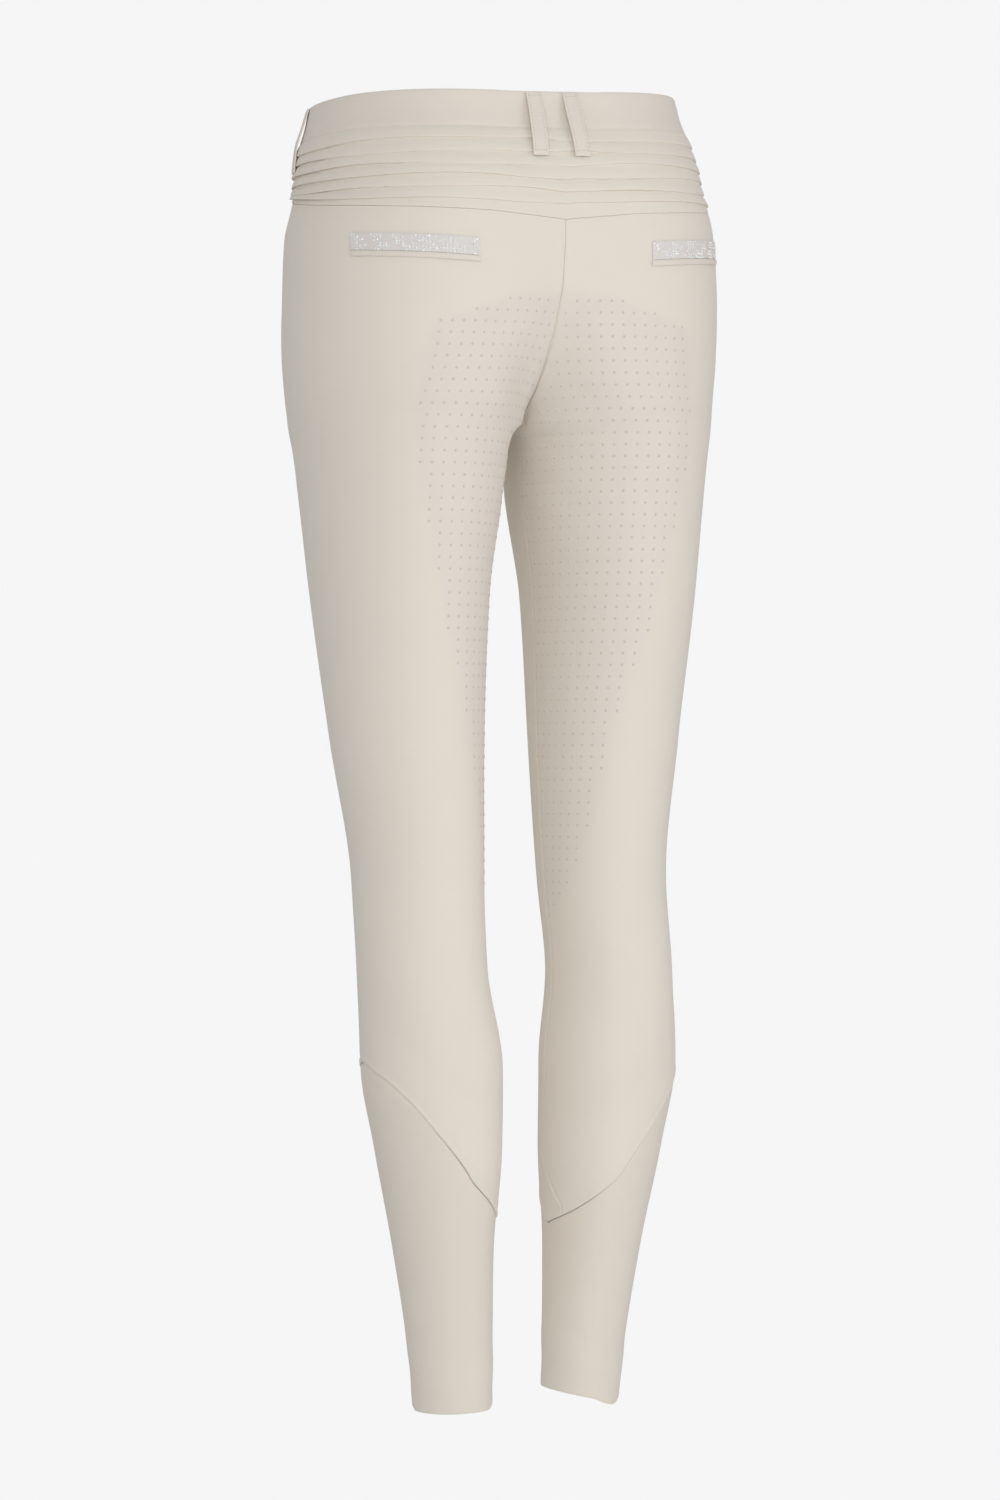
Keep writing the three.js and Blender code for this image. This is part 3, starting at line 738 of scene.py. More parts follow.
def colour_setting(name, description, default):
    """A colour that can be set in the panel."""
    return bpy.props.FloatVectorProperty(
        name=name, description=description, default=default, size=3, min=0, max=1, subtype="COLOR"
    )


class BreechesCloth(bpy.types.PropertyGroup):
    """Sizes and colours of the cloth."""

    wall: length_setting("Cloth thickness", "Thickness of the panels", 0.0012, 0.0008, 0.002)
    tuck_height: length_setting("Tuck height", "How far a tuck of the yoke stands out", 0.0019, 0.0005, 0.003)
    light: colour_setting("Cloth, light", "Lighter tone of the main cloth", (0.83, 0.775, 0.69))
    dark: colour_setting("Cloth, dark", "Darker tone of the main cloth", (0.785, 0.73, 0.645))
    cuff: colour_setting("Cuff", "Colour of the sock cuffs", (0.80, 0.735, 0.65))
    printed: colour_setting("Printed cloth", "Cloth between the grip dots", (0.783, 0.727, 0.657))


class BreechesTrim(bpy.types.PropertyGroup):
    """Sizes and colours of the grip dots, stitches, stones and button."""

    dot_pitch: length_setting("Dot pitch", "Distance between grip dots", 0.0082, 0.004, 0.02)
    dot_width: length_setting("Dot width", "Width of a grip dot over its corners", 0.0025, 0.001, 0.006)
    dot_height: length_setting("Dot height", "How far a grip dot stands out", 0.0003, 0.0001, 0.002)
    stitch_pitch: length_setting("Stitch pitch", "Length of one stitch and its gap", 0.003, 0.0015, 0.006)
    stone_width: length_setting("Stone width", "Width of a stone of the strips", 0.0017, 0.0008, 0.004)
    dot: colour_setting("Grip dots", "Colour of the silicone", (0.672, 0.592, 0.518))
    thread: colour_setting("Thread", "Colour of the sewing thread", (0.56, 0.49, 0.41))
    strip: colour_setting("Sparkle strip", "Ground colour of the pocket strips", (0.82, 0.77, 0.735))
    button: colour_setting("Button", "Colour of the button", (0.52, 0.45, 0.38))


def main_cloth():
    sizes = bpy.context.scene.breeches_cloth
    return cloth_material("sand_stretch_cloth", sizes.light, sizes.dark, print_colour=sizes.printed)


def band_cloth():
    sizes = bpy.context.scene.breeches_cloth
    light, dark = ([c * share for c, share in zip(tone, BAND_TINT)] for tone in (sizes.light, sizes.dark))
    return cloth_material("band_stretch_cloth", light, dark, pitch=0.07)


def cuff_cloth():
    sizes = bpy.context.scene.breeches_cloth
    darker = [c * 0.95 for c in sizes.cuff]
    return cloth_material("cuff_stretch_knit", sizes.cuff, darker, roughness=0.82, pitch=0.045, relief=0.25)


def thread():
    return plain_material("sewing_thread", bpy.context.scene.breeches_trim.thread, 0.7, grain_scale=2500.0)


# The grip print on a back panel: a height, and the turns where the print starts and ends there.
GRIP_PRINT = [
    (-135, 0.008, 0.1),
    (-142, 0.008, 0.15),
    (-148, 0.008, 0.19),
    (-157, 0.008, 0.238),
    (-178, 0.008, 0.25),
    (-205, 0.008, 0.246),
    (-250, 0, 0.232),
    (-285, 0, 0.218),
    (-347, 0, 0.185),
    (-380, 0, 0.165),
    (-418, 0, 0.147),
    (-475, 0, 0.123),
    (-530, 0, 0.09),
    (-565, 0, 0.04),
    (-580, 0, 0),
]


def print_range(z):
    """The first and last turn of the grip print at each height."""
    table = np.array(sorted(GRIP_PRINT), dtype=float)
    keys, values = table[:, 0], table[:, 1:]
    read = read_table(keys, values, z)
    return read[..., 0], read[..., 1], keys[0], keys[-1]


def print_mask(cloth):
    first, last, low, high = print_range(cloth.z)
    per_turn = stretch_length(0.3, cloth.z)
    inside = np.minimum((last - cloth.turn) * per_turn, (cloth.turn - first) * per_turn + 4)
    inside = np.minimum(inside, np.minimum(high - cloth.z, cloth.z - low))
    return smoothstep(inside, -6, 6)


# Soft folds: start, end, depth and width in millimetres, with spots as turn and height.
BACK_FOLDS = [
    ((0.02, -226), (0.13, -262), 1.2, 8),
    ((0.02, -244), (0.11, -292), 0.8, 8),
    ((0.04, -575), (0.30, -566), 0.7, 10),
    ((0.05, -592), (0.24, -604), 0.6, 9),
    ((0.36, -640), (0.52, -618), 0.5, 12),
]
SEAT_FOLDS = {
    "left": [((0.14, -136), (0.07, -226), 8, 20), ((0.21, -170), (0.1, -150), 1.5, 12)],
    "right": [((0.05, -196), (0.12, -215), 1.0, 10)],
}
FRONT_FOLDS = [
    ((0.98, -216), (0.90, -182), 1.2, 8),
    ((0.98, -226), (0.86, -208), 0.9, 8),
    ((0.97, -236), (0.84, -246), 0.7, 9),
    ((0.72, -575), (0.86, -585), 0.5, 12),
]


def pocket_marks(cloth):
    """A groove round the back pocket, and the edge of the pocket bag as a faint ridge beside it."""
    seat = STRETCH_ENDS[1]
    from_centre = stretch_length(seat / 2, cloth.z) * seat
    u = from_centre + (cloth.turn - seat) * stretch_length(seat + 0.01, cloth.z) - POCKET_START
    drop = mix(POCKET_INNER_Z, POCKET_OUTER_Z, np.clip(u / POCKET_LENGTH, 0, 1)) - cloth.z
    half_length, half_height = POCKET_LENGTH / 2, (INLAY_HEIGHT + LIP_HEIGHT) / 2
    outside = np.maximum(np.abs(u - half_length) - half_length, np.abs(drop - half_height) - half_height)
    bag = ridge(u, POCKET_LENGTH + 5, 1.8) * smoothstep(drop, -26, -20) * (1 - smoothstep(drop, 16, 24))
    return 0.45 * ridge(outside, 1.2, 0.9) - 0.35 * bag


def sew_panel(name, cloth, from_centre, from_outseam, folds, relief, printed, mirrored):
    """Folds a panel, rolls its seam edges and laps its calf seam."""
    from_calf = cloth.edge_distances()[3]
    seams = 0.5 * ridge(from_centre, 0, 0.9) + 0.3 * ridge(from_outseam, 0, 0.9)
    seams += 0.75 * ridge(from_calf, 0, 0.8)
    lap = 0.45 * (1 - smoothstep(from_calf, 3.4, 5.0)) - 0.5 * ridge(from_calf, 4.6, 0.7)
    cloth.press(fold_depth(cloth, folds))
    cloth.press(seams + relief - lap, whole=False)
    add_cloth(name, cloth, main_cloth(), "breeches_cloth", mirrored, {"grip_print": printed})


def add_panels(side, mirrored):
    wall = bpy.context.scene.breeches_cloth.wall / MM
    back = back_panel(wall)
    from_centre, from_outseam, from_yoke, _ = back.edge_distances()
    # The seam allowance shows as a faint step beside the centre seam.
    allowance = 0.22 * (1 - smoothstep(from_centre, 5.4, 6.6)) * smoothstep(-back.z, 80, 95)
    relief = 0.12 * ridge(from_yoke, 0, 1.2) - allowance + pocket_marks(back)
    folds = BACK_FOLDS + SEAT_FOLDS[side]
    sew_panel(f"back_{side}", back, from_centre, from_outseam, folds, relief, print_mask(back), mirrored)

    front = front_panel(wall)
    from_outseam, from_centre, from_band, _ = front.edge_distances()
    relief = 0.4 * ridge(from_band, 0, 1.1)
    plain = np.zeros(front.z.shape)
    sew_panel(f"front_{side}", front, from_centre, from_outseam, FRONT_FOLDS, relief, plain, mirrored)


class BREECHES_OT_panels(bpy.types.Operator):
    """Back and front panels, with rolled seam edges and a lapped calf seam"""

    bl_idname = "breeches.panels"
    bl_label = "Leg panels"

    def execute(self, context):
        for side, mirrored in SIDES:
            add_panels(side, mirrored)
        return {"FINISHED"}


def add_cuff(side, mirrored):
    turn = np.linspace(0, 1, 97)[None, :]
    top = calf_seam(turn) - SEAM_GAP / 2
    wave = 1.1 * np.sin(math.tau * turn + (2.2 if mirrored else 0.6))
    wave = wave + 0.5 * np.sin(2 * math.tau * turn + 1.1)
    if mirrored:
        wave = wave + 5 * (1 + np.cos(math.tau * (turn + 0.02))) - 2.5 * ridge(turn, 0.27, 0.12)
    curls = [(0.46, 8, 0.1)] if mirrored else [(0.045, 3.5, 0.035), (0.585, 4, 0.035)]
    hem = HEM_Z + 1.2 + wave + sum(lift * ridge(turn, middle, width) for middle, lift, width in curls)
    rows = even_with_edges(180, 3.2, edges=(0, 0.4, 1, 2, 3.6))[:, None]
    cloth = lay_cloth(turn, mix(top, hem, rows), wall=1.1, lift=-0.4, tube=True)
    _, _, from_top, from_hem = cloth.edge_distances()
    wrinkles = 0.35 * np.sin(from_hem / 7.5 + 2.4 * np.sin(math.tau * turn)) * ridge(from_hem, 26, 22)
    cloth.press(wrinkles + 0.6 * ridge(from_top, 0, 1.4))
    cloth.press(0.35 * ridge(from_hem, 0, 0.7), whole=False)
    add_cloth(f"cuff_{side}", cloth, cuff_cloth(), "cuff_cloth", mirrored)


class BREECHES_OT_cuffs(bpy.types.Operator):
    """Stretch sock cuffs below the calf seams"""

    bl_idname = "breeches.cuffs"
    bl_label = "Sock cuffs"

    def execute(self, context):
        for side, mirrored in SIDES:
            add_cuff(side, mirrored)
        return {"FINISHED"}


class BREECHES_OT_yoke(bpy.types.Operator):
    """The tucked back yoke"""

    bl_idname = "breeches.yoke"
    bl_label = "Tucked yoke"

    def execute(self, context):
        sizes = context.scene.breeches_cloth
        profile = np.array(TUCK_PROFILE)
        down = np.concatenate([[0], *[(k + profile[1:, 0]) / TUCK_COUNT for k in range(TUCK_COUNT)]])
        rise = np.concatenate([[0], *[profile[1:, 1]] * TUCK_COUNT])[:, None]
        tuck = np.minimum(np.floor(down * TUCK_COUNT - 1e-9), TUCK_COUNT - 1)[:, None]
        turn = np.linspace(-OUTSEAM_TURN, OUTSEAM_TURN, 181)[None, :]
        # Towards the sides the lower tucks close up as they run into the seam.
        crowd = 1 + 0.6 * (np.abs(turn) / OUTSEAM_TURN) ** 2
        top = band_bottom(turn) - SEAM_GAP / 2
        bottom = yoke_seam(turn) + YOKE_GAP / 2
        z = mix(bottom, top, (1 - down[:, None]) ** crowd)
        inside = smoothstep(down[:, None], 0, 0.06) * (1 - smoothstep(down[:, None], 0.94, 1))
        z = z + inside * (0.8 * np.sin(9 * turn + 1.7 * tuck) + 0.5 * np.sin(23 * turn + 2.9 * tuck))
        cloth = lay_cloth(turn, z, wall=1.3)
        fullness = 0.8 + 0.2 * np.sin(7 * turn + 2.1 * tuck) + 0.45 * smoothstep(np.abs(turn), 0.3, 0.5)
        fullness = fullness * np.where(tuck == TUCK_COUNT - 1, 0.35, 1)
        height = sizes.tuck_height / MM * rise * fullness
        cloth.press(-height, whole=False)
        cloth.outer[..., 2] -= 0.9 * rise**4 * inside * fullness
        plain = {"grip_print": np.zeros(cloth.z.shape)}
        add_cloth("yoke", cloth, main_cloth(), "breeches_cloth", marks=plain, held="gathered")
        return {"FINISHED"}


def add_band(name, first, last, width, mirrored=False):
    turn = mix(first, last, even_with_edges(width, 3.5))[None, :]
    rows = even_with_edges(BAND_HEIGHT, 2.2, edges=(0, 0.3, 0.8, 1.6))[:, None]
    z = waistline(turn) + BAND_HEIGHT * (0.5 - rows)
    cloth = lay_cloth(turn, z, wall=1.8)
    from_first, from_last, from_top, from_bottom = cloth.edge_distances()
    roll = 0.5 * ridge(from_top, 0, 0.9) + 0.55 * ridge(from_bottom, 0, 1.1)
    roll += 0.4 * ridge(from_first, 0, 0.9) + 0.4 * ridge(from_last, 0, 0.9)
    waves = 0.25 * np.sin(from_first / 19) * np.sin(math.pi * np.clip(from_top / BAND_HEIGHT, 0, 1))
    cloth.press(roll + waves, whole=False)
    add_cloth(name, cloth, band_cloth(), "band_cloth", mirrored)


class BREECHES_OT_waistband(bpy.types.Operator):
    """The shaped waistband, in a back and two fronts"""

    bl_idname = "breeches.waistband"
    bl_label = "Waistband"

    def execute(self, context):
        add_band("waistband_back", -OUTSEAM_TURN, OUTSEAM_TURN, 480)
        add_band("waistband_front_left", OUTSEAM_TURN, 1, 150)
        add_band("waistband_front_right", OUTSEAM_TURN, 1, 150, mirrored=True)
        return {"FINISHED"}


def bead_shape():
    """A stitch or a stone before it is scaled, 1 mm across."""
    bpy.ops.object.select_all(action="DESELECT")
    bpy.ops.mesh.primitive_ico_sphere_add(subdivisions=1, radius=0.5 * MM)
    return template(bpy.context.object)


def stitch_places(points, normals, pitch):
    """Stitches laid end to end along a line on the cloth."""
    run = run_along(points, 0)
    at = np.arange(pitch / 2, run[-1], pitch)
    sample = lambda values, where: np.stack([np.interp(where, run, values[:, k]) for k in range(3)], -1)
    middle, ahead, normal = sample(points, at), sample(points, at + 0.2), unit(sample(normals, at))
    way = unit(ahead - middle + 1e-9)
    across = unit(np.cross(normal, way))
    scale = np.array([pitch * 0.78, 0.42, 0.34])
    return [(m, (w, a, n), scale) for m, w, a, n in zip(middle, way, across, normal)]


def mirror_places(places):
    flip = np.array([-1, 1, 1])
    return [(p * flip, tuple(a * flip for a in axes), s) for p, axes, s in places]


def on_both(places):
    return places + mirror_places(places)


def belt_loop(middle, foot, bow):
    """A belt loop, sewn flat at both ends and standing off the band between them."""
    rows = even_with_edges(LOOP_LENGTH, 1.3, edges=(0, 0.3, 0.8))[:, None]
    z = waistline(middle) + BAND_HEIGHT / 2 - 1 - LOOP_LENGTH * rows
    across = even_with_edges(LOOP_WIDTH, 0.9, edges=(0, 0.25, 0.6, 1.1, 1.7))[None, :] - 0.5
    turn = middle + across * LOOP_WIDTH / stretch_length(middle, z)
    stand = LAY_GAP + foot * rows + bow * np.sin(math.pi * rows)
    cloth = lay_cloth(turn, z, wall=1.1, lift=stand + 1.2, loose=True)
    from_first, from_last, from_top, from_bottom = cloth.edge_distances()
    side, end = np.minimum(from_first, from_last), np.minimum(from_top, from_bottom)
    stitched = 0.16 * ridge(side, 1.5, 0.45)
    cloth.press(0.35 * ridge(side, 0, 0.5) + 0.3 * ridge(end, 0, 0.6) + stitched, whole=False)
    return cloth


class BREECHES_OT_belt_loops(bpy.types.Operator):
    """Belt loops with a row of stitches along both edges"""

    bl_idname = "breeches.belt_loops"
    bl_label = "Belt loops"

    def execute(self, context):
        pitch = context.scene.breeches_trim.stitch_pitch / MM
        tuck = context.scene.breeches_cloth.tuck_height / MM
        twin = TWIN_LOOP_SPACING / 2 / stretch_length(0.005, 0.0)
        stitches = []
        loops = (
            ("back", twin, tuck, LOOP_BOW),
            ("side", SIDE_LOOP_TURN, tuck, SIDE_LOOP_BOW),
            ("front", FRONT_LOOP_TURN, 0, LOOP_BOW),
        )
        for name, middle, foot, bow in loops:
            cloth = belt_loop(middle, foot, bow)
            for side, mirrored in SIDES:
                piece_name = f"belt_loop_{name}_{side}"
                add_cloth(piece_name, cloth, band_cloth(), "band_cloth", mirrored, held="hung")
            for edge in (4, -5):
                stitches += on_both(stitch_places(cloth.outer[2:-2, edge], cloth.normal[2:-2, edge], pitch))
            for row in (4, -5):
                stitches += on_both(stitch_places(cloth.outer[row, 2:-2], cloth.normal[row, 2:-2], 1.5))
        on_top(scatter("belt_loop_stitches", bead_shape(), stitches, thread()))
        return {"FINISHED"}


def pocket_strip(drop, height, stand, wall):
    """A strip along the pocket line of the back panel; drop is how far below that line it starts."""
    columns = even_with_edges(POCKET_LENGTH, 2.4, edges=(0, 0.3, 0.8, 1.6))[None, :]
    rows = even_with_edges(height, 0.9, edges=(0, 0.3, 0.8))[:, None]
    z = mix(POCKET_INNER_Z, POCKET_OUTER_Z, columns) - drop - height * rows
    seat = STRETCH_ENDS[1]
    to_seat = stretch_length(seat / 2, z) * seat
    turn = seat + (POCKET_START + POCKET_LENGTH * columns - to_seat) / stretch_length(seat + 0.01, z)
    return lay_cloth(turn, z, wall=wall, lift=LAY_GAP + stand, loose=True)


def sparkle_places(cloth, width):
    """Stones in loose clusters over a strip, with uneven sizes and small tilts."""
    random = np.random.default_rng(7)
    across, _, down, _ = cloth.edge_distances()
    wide, high = across[0, -1], down[-1, 0]
    places = []
    for row, v in enumerate(np.arange(width * 0.75, high - width * 0.4, width * 0.9)):
        for u in np.arange(width * (0.8 + 0.5 * (row % 2)), wide - width * 0.5, width * 1.06):
            cluster = math.sin(u / 2.9 + 1.3 * math.sin(v / 3.1)) * math.sin(v / 2.3 + 0.6 * math.sin(u / 5))
            if random.random() < 0.05 + 0.85 * (cluster < 0.05):
                continue
            c = int(np.clip(np.searchsorted(across[0], u), 1, across.shape[1] - 1))
            r = int(np.clip(np.searchsorted(down[:, 0], v), 1, down.shape[0] - 1))
            point = cloth.outer[r, c] + random.normal(0, 0.12, 3)
            way = unit(cloth.outer[r, c] - cloth.outer[r, c - 1])
            normal = unit(cloth.normal[r, c] + random.normal(0, 0.22, 3))
            across_way = unit(np.cross(normal, way))
            way = np.cross(across_way, normal)
            size = width * random.uniform(0.7, 1.35)
            places.append((point, (way, across_way, normal), np.array([size, size, size * 0.55])))
    return places


class BREECHES_OT_back_pockets(bpy.types.Operator):
    """Back pocket openings: a plain lip, and a strip set with small stones"""

    bl_idname = "breeches.back_pockets"
    bl_label = "Back pockets"

    def execute(self, context):
        sizes = context.scene.breeches_trim
        width = sizes.stone_width / MM
        darker = [c * 0.86 for c in sizes.strip]
        strip = cloth_material("inlay_strip_ground", sizes.strip, darker, roughness=0.5)
        stones = plain_material(
            "clear_stones", STONE_COLOUR, 0.1, grain_scale=380.0, grain=0.3, metallic=0.1, coat=0.8
        )
        inlay = pocket_strip(0, INLAY_HEIGHT, stand=0.6, wall=0.7)
        edge = np.minimum.reduce(inlay.edge_distances())
        inlay.press(0.35 * ridge(edge, 0, 0.6), whole=False)
        lip = pocket_strip(INLAY_HEIGHT + SEAM_GAP, LIP_HEIGHT, stand=1.0, wall=1.0)
        edge = np.minimum.reduce(lip.edge_distances())
        lip.press(0.7 * ridge(edge, 0, 0.8), whole=False)
        stone = bead_shape()
        places = sparkle_places(inlay, width)
        for side, mirrored in SIDES:
            add_cloth(f"pocket_inlay_{side}", inlay, strip, "sparkle_strip", mirrored, held="laid")
            add_cloth(f"pocket_welt_{side}", lip, band_cloth(), "breeches_cloth", mirrored, held="folded")
            spots_here = mirror_places(places) if mirrored else places
            on_top(scatter(f"pocket_stones_{side}", stone, spots_here, stones))
        return {"FINISHED"}


def front_pocket_welt():
    """The slanted welt of a front pocket, from beside the outseam up towards the waistband."""
    low_turn, low_z = FRONT_WELT_LOW
    high_turn, high_z = FRONT_WELT_HIGH
    rows = even_with_edges(95, 2.0, edges=(0, 0.3, 0.8, 1.6))[:, None]
    across = (even_with_edges(11, 0.9, edges=(0, 0.3, 0.8, 1.4))[None, :] * 2 - 1) * FRONT_WELT_HALF_WIDTH
    per_turn = stretch_length(low_turn, low_z)
    run, rise = (high_turn - low_turn) * per_turn, high_z - low_z
    length = np.hypot(run, rise)
    turn = mix(high_turn, low_turn, rows) + across * rise / length / per_turn
    z = mix(high_z, low_z, rows) - across * run / length
    cloth = lay_cloth(turn, z, wall=1.1, lift=LAID_LIFT, loose=True)
    edge = np.minimum.reduce(cloth.edge_distances())
    cloth.press(0.4 * ridge(edge, 0, 0.6) + 0.14 * ridge(edge, 1.6, 0.45), whole=False)
    return cloth


def fly_placket():
    """The fly placket on the left front, curving in to the centre front at its foot."""
    rows = even_with_edges(FLY_LENGTH, 1.8, edges=(0, 0.3, 0.8))[:, None]
    columns = even_with_edges(FLY_WIDTH, 2.0, edges=(0, 0.3, 0.8, 1.5, 2.4))[None, :]
    z = band_bottom(1.0) - 1 - FLY_LENGTH * rows
    turn_in = np.maximum(0, (rows - 0.72) / 0.28)
    width = 4 + (FLY_WIDTH - 4) * np.sqrt(1 - turn_in**2)
    turn = 1 - (1 + width * (1 - columns)) / stretch_length(0.9, z)
    cloth = lay_cloth(turn, z, wall=1.1, lift=LAID_LIFT, loose=True)
    from_outer, from_centre, _, from_foot = cloth.edge_distances()
    roll = 0.4 * ridge(np.minimum(from_outer, from_centre), 0, 0.6) + 0.4 * ridge(from_foot, 0, 0.6)
    cloth.press(roll, whole=False)
    return cloth


def waistband_tab():
    """The waistband's overlapping end, laid over the other end at the centre front."""
    rows = even_with_edges(BAND_HEIGHT - 2, 1.8, edges=(0, 0.3, 0.8, 1.5))[:, None]
    columns = even_with_edges(TAB_LENGTH, 1.8, edges=(0, 0.3, 0.8, 1.5))[None, :]
    z = waistline(1.0) + (BAND_HEIGHT - 2) * (0.5 - rows)
    turn = 1 + (12 - TAB_LENGTH * (1 - columns)) / stretch_length(0.9, z)
    cloth = lay_cloth(turn, z, wall=1.1, lift=LAID_LIFT, loose=True)
    edge = np.minimum.reduce(cloth.edge_distances())
    cloth.press(0.4 * ridge(edge, 0, 0.6) + 0.14 * ridge(edge, 2.2, 0.45), whole=False)
    return cloth


class BREECHES_OT_front_fastening(bpy.types.Operator):
    """Front pocket welts, fly placket and waistband tab, with their stitches"""

    bl_idname = "breeches.front_fastening"
    bl_label = "Front fastening"

    def execute(self, context):
        pitch = context.scene.breeches_trim.stitch_pitch / MM
        stitches = []
        welt = front_pocket_welt()
        for side, mirrored in SIDES:
            name = f"front_pocket_welt_{side}"
            add_cloth(name, welt, band_cloth(), "breeches_cloth", mirrored, held="folded")
        for edge in (3, -4):
            stitches += on_both(stitch_places(welt.outer[2:-2, edge], welt.normal[2:-2, edge], pitch))
        fly = fly_placket()
        add_cloth("fly_placket", fly, band_cloth(), "breeches_cloth", held="laid")
        for column in (3, 5):
            stitches += stitch_places(fly.outer[:-4, column], fly.normal[:-4, column], pitch)
        tab = waistband_tab()
        add_cloth("waistband_tab", tab, band_cloth(), "band_cloth", held="laid")
        for row in (4, -5):
            stitches += stitch_places(tab.outer[row, 3:-3], tab.normal[row, 3:-3], pitch)
        stitches += stitch_places(tab.outer[4:-4, -5], tab.normal[4:-4, -5], pitch)
        on_top(scatter("front_stitches", bead_shape(), stitches, thread()))
        return {"FINISHED"}


def dot_shape():
    """A grip dot, 1 mm across its corners and 1 mm high, flat below and narrower at its top."""
    bpy.ops.object.select_all(action="DESELECT")
    bpy.ops.mesh.primitive_cone_add(vertices=4, radius1=0.5 * MM, radius2=0.34 * MM, depth=MM)
    return template(bpy.context.object)


class BREECHES_OT_grip_dots(bpy.types.Operator):
    """Silicone grip dots in a square grid over the seat and the backs of the legs"""

    bl_idname = "breeches.grip_dots"
    bl_label = "Grip dots"

    def execute(self, context):
        sizes = context.scene.breeches_trim
        pitch, width, height = (s / MM for s in (sizes.dot_pitch, sizes.dot_width, sizes.dot_height))
        silicone = plain_material("printed_silicone", sizes.dot, 0.45, grain=0.08)
        _, _, low, high = print_range(np.array(-200.0))
        middle = STRETCH_ENDS[1]
        places = {"left": [], "right": []}
        for z in np.arange(high - pitch / 2, low, -pitch):
            first, last, _, _ = print_range(np.array(z))
            inner_rate = stretch_length(middle / 2, z)
            outer_rate = stretch_length(middle + 0.05, z)
            count_in = int((middle - first) * inner_rate / pitch)
            count_out = int((last - middle) * outer_rate / pitch)
            steps = np.arange(-count_in, count_out + 1)
            turns = middle + steps * pitch / np.where(steps < 0, inner_rate, outer_rate)
            turns = turns[(turns > first) & (turns < last)]
            if not len(turns):
                continue
            points, along, normals = spots(turns, np.full(turns.shape, z))
            row = Cloth(turns[None], z, points[None], points[None], normals[None])
            near_centre = z > CROTCH_Z
            for side, folds in SEAT_FOLDS.items():
                sunk = fold_depth(row, BACK_FOLDS + folds)[0]
                for point, way, normal, deep in zip(points, along, normals, sunk):
                    if near_centre and point[0] < 4.5:
                        continue
                    up = np.cross(way, normal)
                    centre = point + normal * (height * 0.45 - deep)
                    places[side].append((centre, (way, -up, normal), np.array([width, width, height])))
        shape = dot_shape()
        for side, mirrored in SIDES:
            here = mirror_places(places[side]) if mirrored else places[side]
            piece = scatter(f"grip_dots_{side}", shape, here, silicone)
            if mirrored:
                select_only(piece)
                bpy.ops.object.mode_set(mode="EDIT")
                bpy.ops.mesh.select_all(action="SELECT")
                bpy.ops.mesh.flip_normals()
                bpy.ops.object.mode_set(mode="OBJECT")
            on_top(piece)
        return {"FINISHED"}


class BREECHES_OT_button(bpy.types.Operator):
    """The waist button, a round disc with a rim and a sunk middle"""

    bl_idname = "breeches.button"
    bl_label = "Waist button"

    def execute(self, context):
        low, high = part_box("waist_button")
        middle = [(a + b) / 2 for a, b in zip(low, high)]
        _, _, normal = spots(1 - BUTTON_FROM_CENTRE / stretch_length(0.9, 0.0), waistline(1.0))
        tilt = math.atan2(normal[2], -normal[1])
        bpy.ops.object.select_all(action="DESELECT")
        bpy.ops.mesh.primitive_cylinder_add(
            vertices=48, radius=BUTTON_RADIUS * MM, depth=BUTTON_DEPTH * MM,
            location=middle, rotation=(math.pi / 2 - tilt, 0, 0),
        )
        piece = context.object
        piece.name = "waist_button_moulded"
        bpy.ops.object.mode_set(mode="EDIT")
        bpy.ops.mesh.select_all(action="DESELECT")
        bpy.ops.mesh.select_mode(type="FACE")
        bpy.ops.object.mode_set(mode="OBJECT")
        caps = [face for face in piece.data.polygons if len(face.vertices) > 4]
        front = max(caps, key=lambda face: face.normal.z)
        front.select = True
        bpy.ops.object.mode_set(mode="EDIT")
        bpy.ops.mesh.inset(thickness=BUTTON_RIM * MM, depth=0)
        bpy.ops.mesh.inset(thickness=BUTTON_SLOPE * MM, depth=-BUTTON_SUNK * MM)
        bpy.ops.mesh.inset(thickness=BUTTON_FLOOR * MM, depth=0)
        bpy.ops.mesh.select_all(action="SELECT")
        bpy.ops.object.mode_set(mode="OBJECT")
        bevel = piece.modifiers.new("rim", "BEVEL")
        bevel.width = BUTTON_ROUNDING * MM
        bevel.segments = 3
        bevel.limit_method = "ANGLE"
        bpy.ops.object.modifier_apply(modifier="rim")
        bpy.ops.object.transform_apply(location=True, rotation=True, scale=True)
        shade(piece, 40)
        piece.data.materials.append(
            plain_material("moulded_button", context.scene.breeches_trim.button, 0.35, grain_scale=400.0)
        )
        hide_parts("waist_button")
        on_top(piece)
        return {"FINISHED"}


# How bright the backdrop is in the picture, and how much light it gives.
PAPER = 0.92
AMBIENT = 0.5

# Where the camera looks, and from which side and how far, in degrees and metres.
AIM = (0, 0.016, -0.4542)
CAMERA_SIDE = 157
CAMERA_DISTANCE = 3
CAMERA_LENS = 99.2  # millimetres, on a sensor 36 mm wide


def area_light(name, place, size, power):
    data = bpy.data.lights.new(name, "AREA")
    data.shape = "DISK"
    data.size = size
    data.energy = power
    light = bpy.data.objects.new(name, data)
    bpy.context.scene.collection.objects.link(light)
    light.location = place
    aim_at_middle(light)


def aim_at_middle(thing):
    way = Vector(AIM) - Vector(thing.location)
    thing.rotation_euler = way.to_track_quat("-Z", "Y").to_euler()


def seen_or_lit(tree, seen, lit):
    """One shader as the camera sees it and another as it lights the object."""
    path = node(tree, "ShaderNodeLightPath")
    blend = node(tree, "ShaderNodeMixShader")
    tree.links.new(path.outputs["Is Camera Ray"], blend.inputs["Fac"])
    tree.links.new(lit, blend.inputs[1])
    tree.links.new(seen, blend.inputs[2])
    return blend.outputs[0]


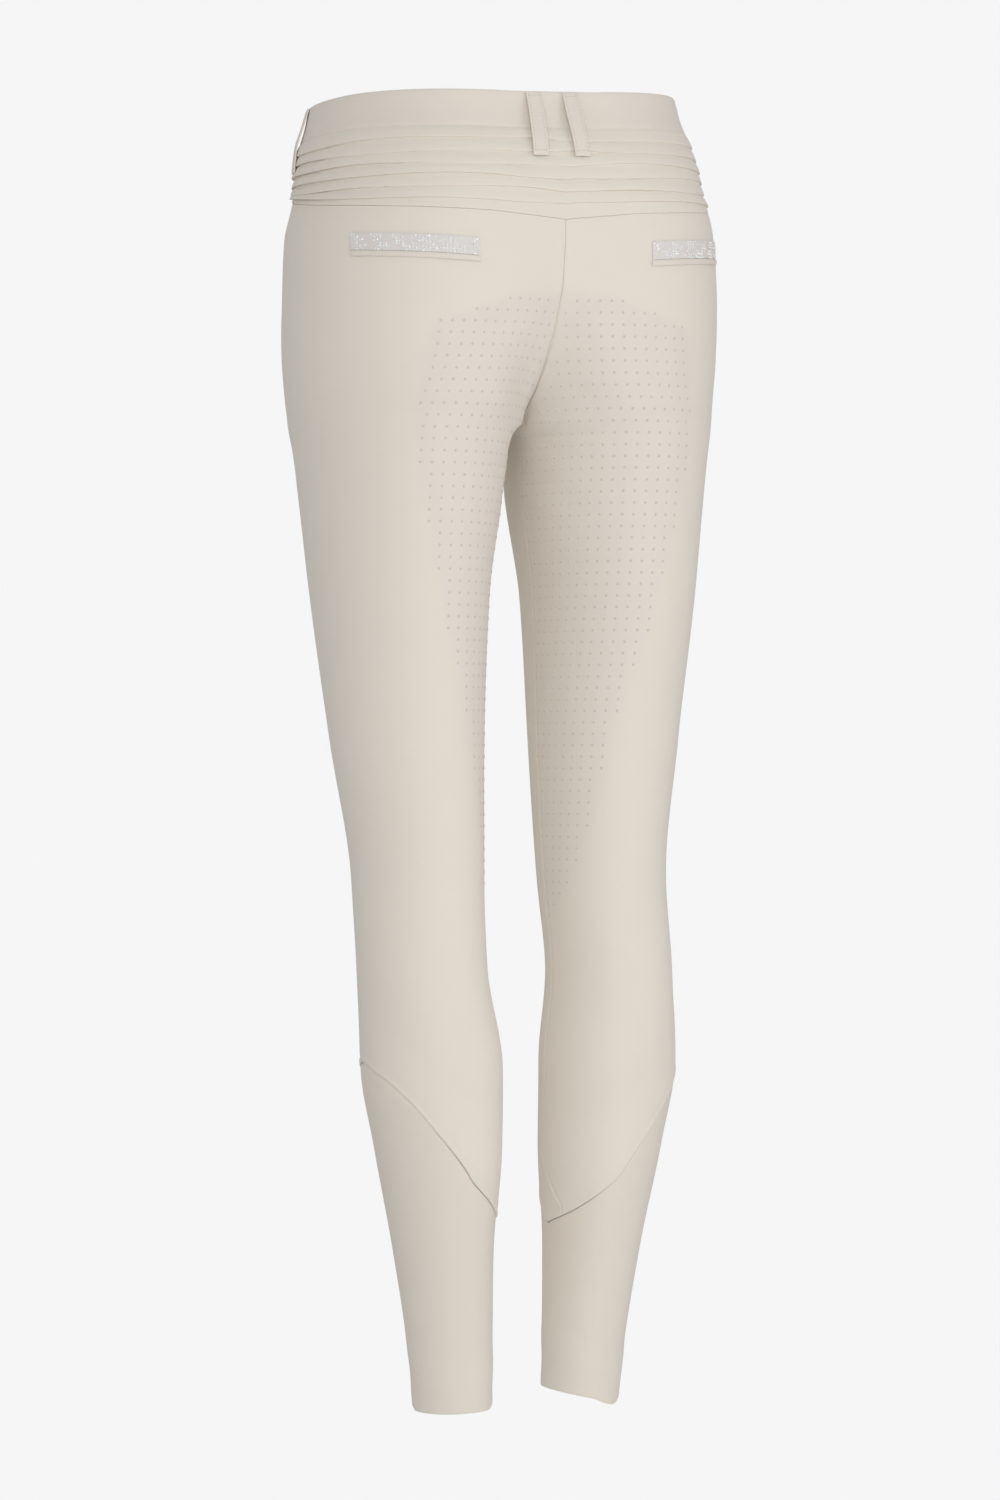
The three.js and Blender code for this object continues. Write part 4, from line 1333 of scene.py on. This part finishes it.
class BREECHES_OT_stage(bpy.types.Operator):
    """A pale floor and backdrop, soft light and the camera"""

    bl_idname = "breeches.stage"
    bl_label = "Stage"

    def execute(self, context):
        scene = context.scene
        scene.view_settings.view_transform = "Standard"
        backdrop, tree, shader = new_material("pale_backdrop")
        shader.inputs["Base Color"].default_value = (0.8, 0.8, 0.8, 1)
        shader.inputs["Roughness"].default_value = 1.0
        shader.inputs["Specular IOR Level"].default_value = 0.0
        clean = node(tree, "ShaderNodeEmission", Color=(PAPER, PAPER, PAPER, 1), Strength=1.0)
        tree.links.new(
            seen_or_lit(tree, clean.outputs[0], shader.outputs[0]),
            tree.nodes["Material Output"].inputs["Surface"],
        )
        bpy.ops.object.select_all(action="DESELECT")
        bpy.ops.mesh.primitive_plane_add(size=16, location=(0, 0, -1.5))
        floor = context.object
        floor.name = "floor"
        floor.data.materials.append(backdrop)

        world = bpy.data.worlds.new("studio")
        world.use_nodes = True
        tree = world.node_tree
        ambient = tree.nodes["Background"]
        ambient.inputs["Color"].default_value = (1, 1, 1, 1)
        ambient.inputs["Strength"].default_value = AMBIENT
        wall = node(tree, "ShaderNodeBackground", Color=(PAPER, PAPER, PAPER, 1), Strength=1.0)
        tree.links.new(
            seen_or_lit(tree, wall.outputs[0], ambient.outputs[0]),
            tree.nodes["World Output"].inputs["Surface"],
        )
        scene.world = world

        area_light("key", (1.2, 2.98, 0.1), size=1.8, power=36)
        area_light("side_fill", (-1.9, 2.2, -0.2), size=1.8, power=14)
        area_light("front_fill", (0.4, -3.2, 0.6), size=2.4, power=14)

        camera = bpy.data.cameras.new("camera")
        camera.lens = CAMERA_LENS
        camera.sensor_width = 36
        viewer = bpy.data.objects.new("camera", camera)
        scene.collection.objects.link(viewer)
        side = math.radians(CAMERA_SIDE)
        x, y, z = AIM
        viewer.location = (x + CAMERA_DISTANCE * math.sin(side), y - CAMERA_DISTANCE * math.cos(side), z)
        aim_at_middle(viewer)
        scene.camera = viewer
        return {"FINISHED"}


class BREECHES_PT_pieces(bpy.types.Panel):
    """Sizes, colours and pieces of the breeches"""

    bl_idname = "BREECHES_PT_pieces"
    bl_label = "Riding breeches"
    bl_space_type = "VIEW_3D"
    bl_region_type = "UI"
    bl_category = "Breeches"

    def draw(self, context):
        for group in (context.scene.breeches_cloth, context.scene.breeches_trim):
            for name in group.__annotations__:
                self.layout.prop(group, name)
        for operator in PIECES:
            self.layout.operator(operator.bl_idname)


PIECES = (
    BREECHES_OT_panels,
    BREECHES_OT_cuffs,
    BREECHES_OT_yoke,
    BREECHES_OT_waistband,
    BREECHES_OT_belt_loops,
    BREECHES_OT_back_pockets,
    BREECHES_OT_front_fastening,
    BREECHES_OT_grip_dots,
    BREECHES_OT_button,
    BREECHES_OT_stage,
)
CLASSES = (BreechesCloth, BreechesTrim, *PIECES, BREECHES_PT_pieces)


def register():
    for cls in CLASSES:
        bpy.utils.register_class(cls)
    bpy.types.Scene.breeches_cloth = bpy.props.PointerProperty(type=BreechesCloth)
    bpy.types.Scene.breeches_trim = bpy.props.PointerProperty(type=BreechesTrim)


def unregister():
    del bpy.types.Scene.breeches_trim
    del bpy.types.Scene.breeches_cloth
    for cls in reversed(CLASSES):
        bpy.utils.unregister_class(cls)


def main():
    register()
    for operator in PIECES:
        group, name = operator.bl_idname.split(".")
        getattr(getattr(bpy.ops, group), name)()


if __name__ == "__main__":
    main()
